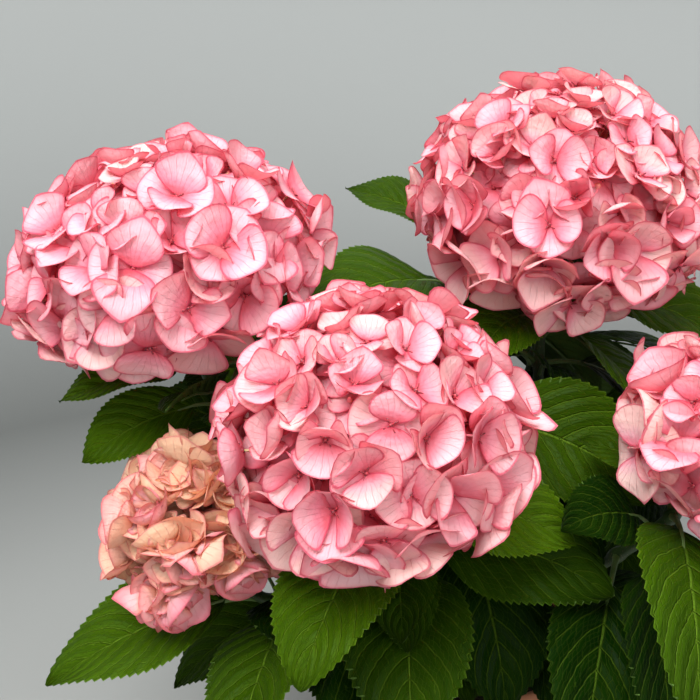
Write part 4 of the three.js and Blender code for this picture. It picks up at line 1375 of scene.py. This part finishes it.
def pot_profile(pot):
    """Radius and height pairs of the pot's outline, from its foot out, up and down inside."""
    height, rim = pot.height / MM, pot.rim_radius / MM
    foot, wall = pot.foot_radius / MM, pot.wall / MM
    shoulder = height - pot.collar / MM
    neck = rim - 8
    corners = [
        (0.5, 0), (foot - 2, 0), (foot, 2), (neck, shoulder - 3), (rim - 3, shoulder),
        (rim - 2, shoulder + 3), (rim, height - 4), (rim - 2, height - 0.5), (rim - 4, height),
        (rim - wall, height - 2), (rim - wall - 1, SOIL_TOP - 8), (foot - wall, 13), (0.5, 10),
    ]
    return rounded(corners, 2.5)


def soil_heap(faces, reach):
    """The soil's lumpy top, which falls off with the cube of the radius and is calm about the
    woody foot, and its sides and underside inside the pot."""
    radii = np.linspace(4, reach, 60)
    profile = np.array([(0.5, SOIL_TOP), *[(r, soil_level(r, reach)) for r in radii]])
    grid = turned(profile, 200)
    calm = 1 - np.exp(-((np.hypot(grid[..., 0], grid[..., 1]) / 24) ** 4))
    lumps = ripple(grid, 2.4, 31) * 0.8 + ripple(grid, 1.1, 32) * 0.5 + ripple(grid, 6.0, 33) * 0.9
    grid[..., 2] += lumps * calm - 0.9 * calm
    grid[:, -1] = grid[:, 0]
    add_surface(faces, grid[::-1])
    inside = np.array([(reach, SOIL_TOP - 5.0), (reach - 12, SOIL_TOP - 60), (56, 12.0), (0.5, 10.6)])
    skirt = turned(inside, 200)
    skirt[0] = grid[-1]
    add_surface(faces, skirt[::-1])


def soil_level(radius, reach):
    """The soil's height, SOIL_TOP - 4 (radius / reach)^3."""
    return SOIL_TOP - 4 * (radius / reach) ** 3


def crumbs(faces, reach, count):
    """Loose crumbs on the soil, short thick tubes that taper to both ends; a few are white."""
    rng = np.random.default_rng(21)
    r = reach * 0.97 * np.sqrt(rng.uniform(0.06, 1, count))
    a = rng.uniform(0, 2 * np.pi, count)
    size = rng.uniform(0.6, 2.0, count) ** 1.2
    centre = np.stack([r * np.cos(a), r * np.sin(a), soil_level(r, reach) - 0.6 + size * 0.2], -1)
    direction = unit(rng.normal(size=(count, 3)) * (1, 1, 0.4))
    share = np.linspace(-1, 1, 4)
    path = centre[:, None] + direction[:, None] * share[None, :, None] * size[:, None, None]
    radius = size[:, None] * np.array([0.35, 0.95, 0.8, 0.3]) * rng.uniform(0.6, 1.1, (count, 4))
    faces.add_tubes(path, radius, 6, np.where(rng.uniform(size=count) < 0.07, 1, 0))


# Operators


def settle(piece, slot, *nodes):
    """Puts a piece on the plant's body, in place of its nodes. The slot is not used."""
    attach(piece, BODY)
    if nodes:
        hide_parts(*nodes)


class HYDRANGEA_OT_pot(bpy.types.Operator):
    """Turn the clay pot, with a rounded rim, a collar and a slightly uneven surface"""

    bl_idname = "hydrangea.pot"
    bl_label = "Pot"

    def execute(self, context):
        pot = user_settings("pot")
        grid = turned(pot_profile(pot), 144)
        away = unit(grid * (1, 1, 0))
        grid = grid + away * (0.25 * ripple(grid, 9.0, 3))[..., None] * (grid[..., 2:] > 1)
        faces = Faces()
        add_surface(faces, grid)
        settle(faces.piece("clay_pot", [clay_material(pot)]), "terracotta", "pot")
        return {"FINISHED"}


class HYDRANGEA_OT_soil(bpy.types.Operator):
    """Heap the potting mix: a crumbled surface with loose crumbs and a few white grains"""

    bl_idname = "hydrangea.soil"
    bl_label = "Soil"

    def execute(self, context):
        pot = user_settings("pot")
        reach = (pot.rim_radius - pot.wall) / MM - 2.6
        faces = Faces()
        soil_heap(faces, reach)
        crumbs(faces, reach, 900)
        materials = [
            plain_material("potting_mix", pot.soil, pot.soil_pale, 0.95, 240.0, 0.0012),
            plain_material("white_grain", pot.grain, pot.grain_dark, 0.9, 300.0, 0.0004),
        ]
        settle(faces.piece("potting_soil", materials), "soil", "soil")
        return {"FINISHED"}


class HYDRANGEA_OT_wood(bpy.types.Operator):
    """Grow the woody foot and the stems, swollen at their nodes, with leaf buds at bare tips"""

    bl_idname = "hydrangea.wood"
    bl_label = "Stems"

    def execute(self, context):
        stems, _ = Plant.get()
        look = user_settings("stem")
        foot = Faces()
        woody_foot(foot)
        bark = plain_material("bark", look.bark, look.bark_pale, 0.85, 130.0, 0.0012)
        settle(foot.piece("woody_base", [bark]), "bark", "woody_foot")
        green = Faces()
        stem_tubes(green, stems)
        buds(green, stems)
        boughs = ["bough_" + name for name in SHOOTS]
        settle(green.piece("stems", [stem_material(look)]), "stem", *boughs)
        return {"FINISHED"}


class HYDRANGEA_OT_leaves(bpy.types.Operator):
    """Set every leaf: toothed, veined blades on round stalks"""

    bl_idname = "hydrangea.leaves"
    bl_label = "Leaves"

    def execute(self, context):
        _, leaves = Plant.get()
        look = user_settings("leaf")
        faces = Faces()
        large = [leaf for leaf in leaves if leaf["rank"] is not None]
        small = [leaf for leaf in leaves if leaf["rank"] is None]
        add_leaves(faces, large, look, look.teeth, 11)
        add_leaves(faces, small, look, look.teeth // 2, 7)
        masses = ["foliage_" + name for name in SHOOTS]
        settle(faces.piece("leaf_blades", [leaf_material("leaf_blade", look)]), "leaf", *masses)
        stalk_faces = Faces()
        paths, radii = petiole_paths(leaves, 8)
        stalk_faces.add_tubes(paths, radii, 8)
        skin = plain_material("leaf_stalk", look.stalk, look.stalk_pale, 0.6, 90.0, 0.0003)
        settle(stalk_faces.piece("leaf_stalks", [skin]), "leaf")
        return {"FINISHED"}


class HYDRANGEA_OT_blossom(bpy.types.Operator):
    """Cover the heads with florets: open ones on the old heads, half-open ones on the young"""

    bl_idname = "hydrangea.blossom"
    bl_label = "Blossom"

    def execute(self, context):
        look = user_settings("petal")
        open_petal = petal_material("open_sepal", look)
        young_petal = petal_material("young_sepal", look, young=True)
        eye = plain_material("floret_eye", look.eye, look.deep, 0.4, 900.0, 0.0002)
        stalk = plain_material("flower_stalk", look.stalk, look.warm, 0.6, 120.0, 0.0002)
        bud = plain_material("flower_bud", look.warm, look.bud, 0.5, 300.0, 0.0002)
        for seed, name in enumerate(HEADS):
            rng = np.random.default_rng(100 + seed)
            faces = Faces()
            if name == "young":
                young_head(faces, SHOOTS[name], look, rng)
                materials = [young_petal, bud, stalk]
            else:
                open_head(faces, name, SHOOTS[name], look, rng)
                little_buds(faces, SHOOTS[name], 3, 45, rng)
                materials = [open_petal, eye, stalk, bud]
            slot = "young_petal" if name == "young" else "petal"
            settle(faces.piece("florets_" + name, materials), slot, "bloom_" + name)
        return {"FINISHED"}


class HYDRANGEA_OT_stage(bpy.types.Operator):
    """Set a pale floor that curves up into a wall all round, the soft lights and the camera"""

    bl_idname = "hydrangea.stage"
    bl_label = "Stage"

    def execute(self, context):
        look = user_settings("stage")
        flat, wall, height, sunk = (BACKDROP[key] for key in ("flat", "wall", "height", "sunk"))
        turn = np.linspace(0, np.pi / 2, 24)[:, None]
        cove = np.concatenate([flat + (wall - flat) * np.sin(turn), (wall - flat) * (1 - np.cos(turn))], 1)
        profile = np.concatenate([[(1.0, 0.0), (700.0, 0.0)], cove, [(wall, height)]])
        faces = Faces()
        add_surface(faces, turned(profile, 96) - (0, 0, sunk), 0, True)
        faces.piece("backdrop", [paper_material(look)])
        for name, (place, size) in LAMPS.items():
            self.area_light(name, place, getattr(look, name), size)
        world = bpy.data.worlds.new("sky")
        world.use_nodes = True
        background = world.node_tree.nodes["Background"]
        background.inputs["Color"].default_value = (*look.sky_tint, 1)
        background.inputs["Strength"].default_value = look.sky
        context.scene.world = world
        camera = bpy.data.cameras.new("camera")
        camera.lens = CAMERA_LENS
        camera.sensor_width = 36
        viewer = bpy.data.objects.new("camera", camera)
        viewer.location = CAMERA_PLACE
        viewer.rotation_euler = (math.radians(90 - CAMERA_PITCH), 0, 0)
        context.scene.collection.objects.link(viewer)
        context.scene.camera = viewer
        context.scene.view_settings.view_transform = "Standard"
        return {"FINISHED"}

    def area_light(self, name, place, power, size):
        """A square light that looks at the middle of the plant."""
        data = bpy.data.lights.new(name, "AREA")
        data.energy = power
        data.size = size
        light = bpy.data.objects.new(name, data)
        light.visible_camera = False
        target = np.array(LAMPS_LOOK_AT) - np.array(place)
        yaw = math.atan2(target[1], target[0])
        pitch = math.acos(-target[2] / np.linalg.norm(target))
        light.location = place
        light.rotation_euler = (pitch, 0, yaw - math.pi / 2)
        bpy.context.scene.collection.objects.link(light)


OPERATORS = (
    HYDRANGEA_OT_stage,
    HYDRANGEA_OT_pot,
    HYDRANGEA_OT_soil,
    HYDRANGEA_OT_wood,
    HYDRANGEA_OT_leaves,
    HYDRANGEA_OT_blossom,
)
GROUPS = {
    "petal": PetalSettings,
    "leaf": LeafSettings,
    "stem": StemSettings,
    "pot": PotSettings,
    "stage": StageSettings,
}


class HYDRANGEA_PT_panel(bpy.types.Panel):
    """Lists the operators and the settings"""

    bl_idname = "HYDRANGEA_PT_panel"
    bl_label = "Hydrangea"
    bl_space_type = "VIEW_3D"
    bl_region_type = "UI"
    bl_category = "Hydrangea"

    def draw(self, context):
        for operator in OPERATORS:
            self.layout.operator(operator.bl_idname)
        for name, group in GROUPS.items():
            box = self.layout.box()
            box.label(text=name.capitalize())
            for key in group.__annotations__:
                box.prop(user_settings(name), key)


def register():
    for group in GROUPS.values():
        bpy.utils.register_class(group)
    for name, group in GROUPS.items():
        setattr(bpy.types.Scene, "hydrangea_" + name, PointerProperty(type=group))
    for operator in OPERATORS:
        bpy.utils.register_class(operator)
    bpy.utils.register_class(HYDRANGEA_PT_panel)


def unregister():
    bpy.utils.unregister_class(HYDRANGEA_PT_panel)
    for operator in reversed(OPERATORS):
        bpy.utils.unregister_class(operator)
    for name, group in GROUPS.items():
        delattr(bpy.types.Scene, "hydrangea_" + name)
        bpy.utils.unregister_class(group)


def main():
    register()
    bpy.ops.hydrangea.stage()
    bpy.ops.hydrangea.pot()
    bpy.ops.hydrangea.soil()
    bpy.ops.hydrangea.wood()
    bpy.ops.hydrangea.leaves()
    bpy.ops.hydrangea.blossom()


if __name__ == "__main__":
    main()
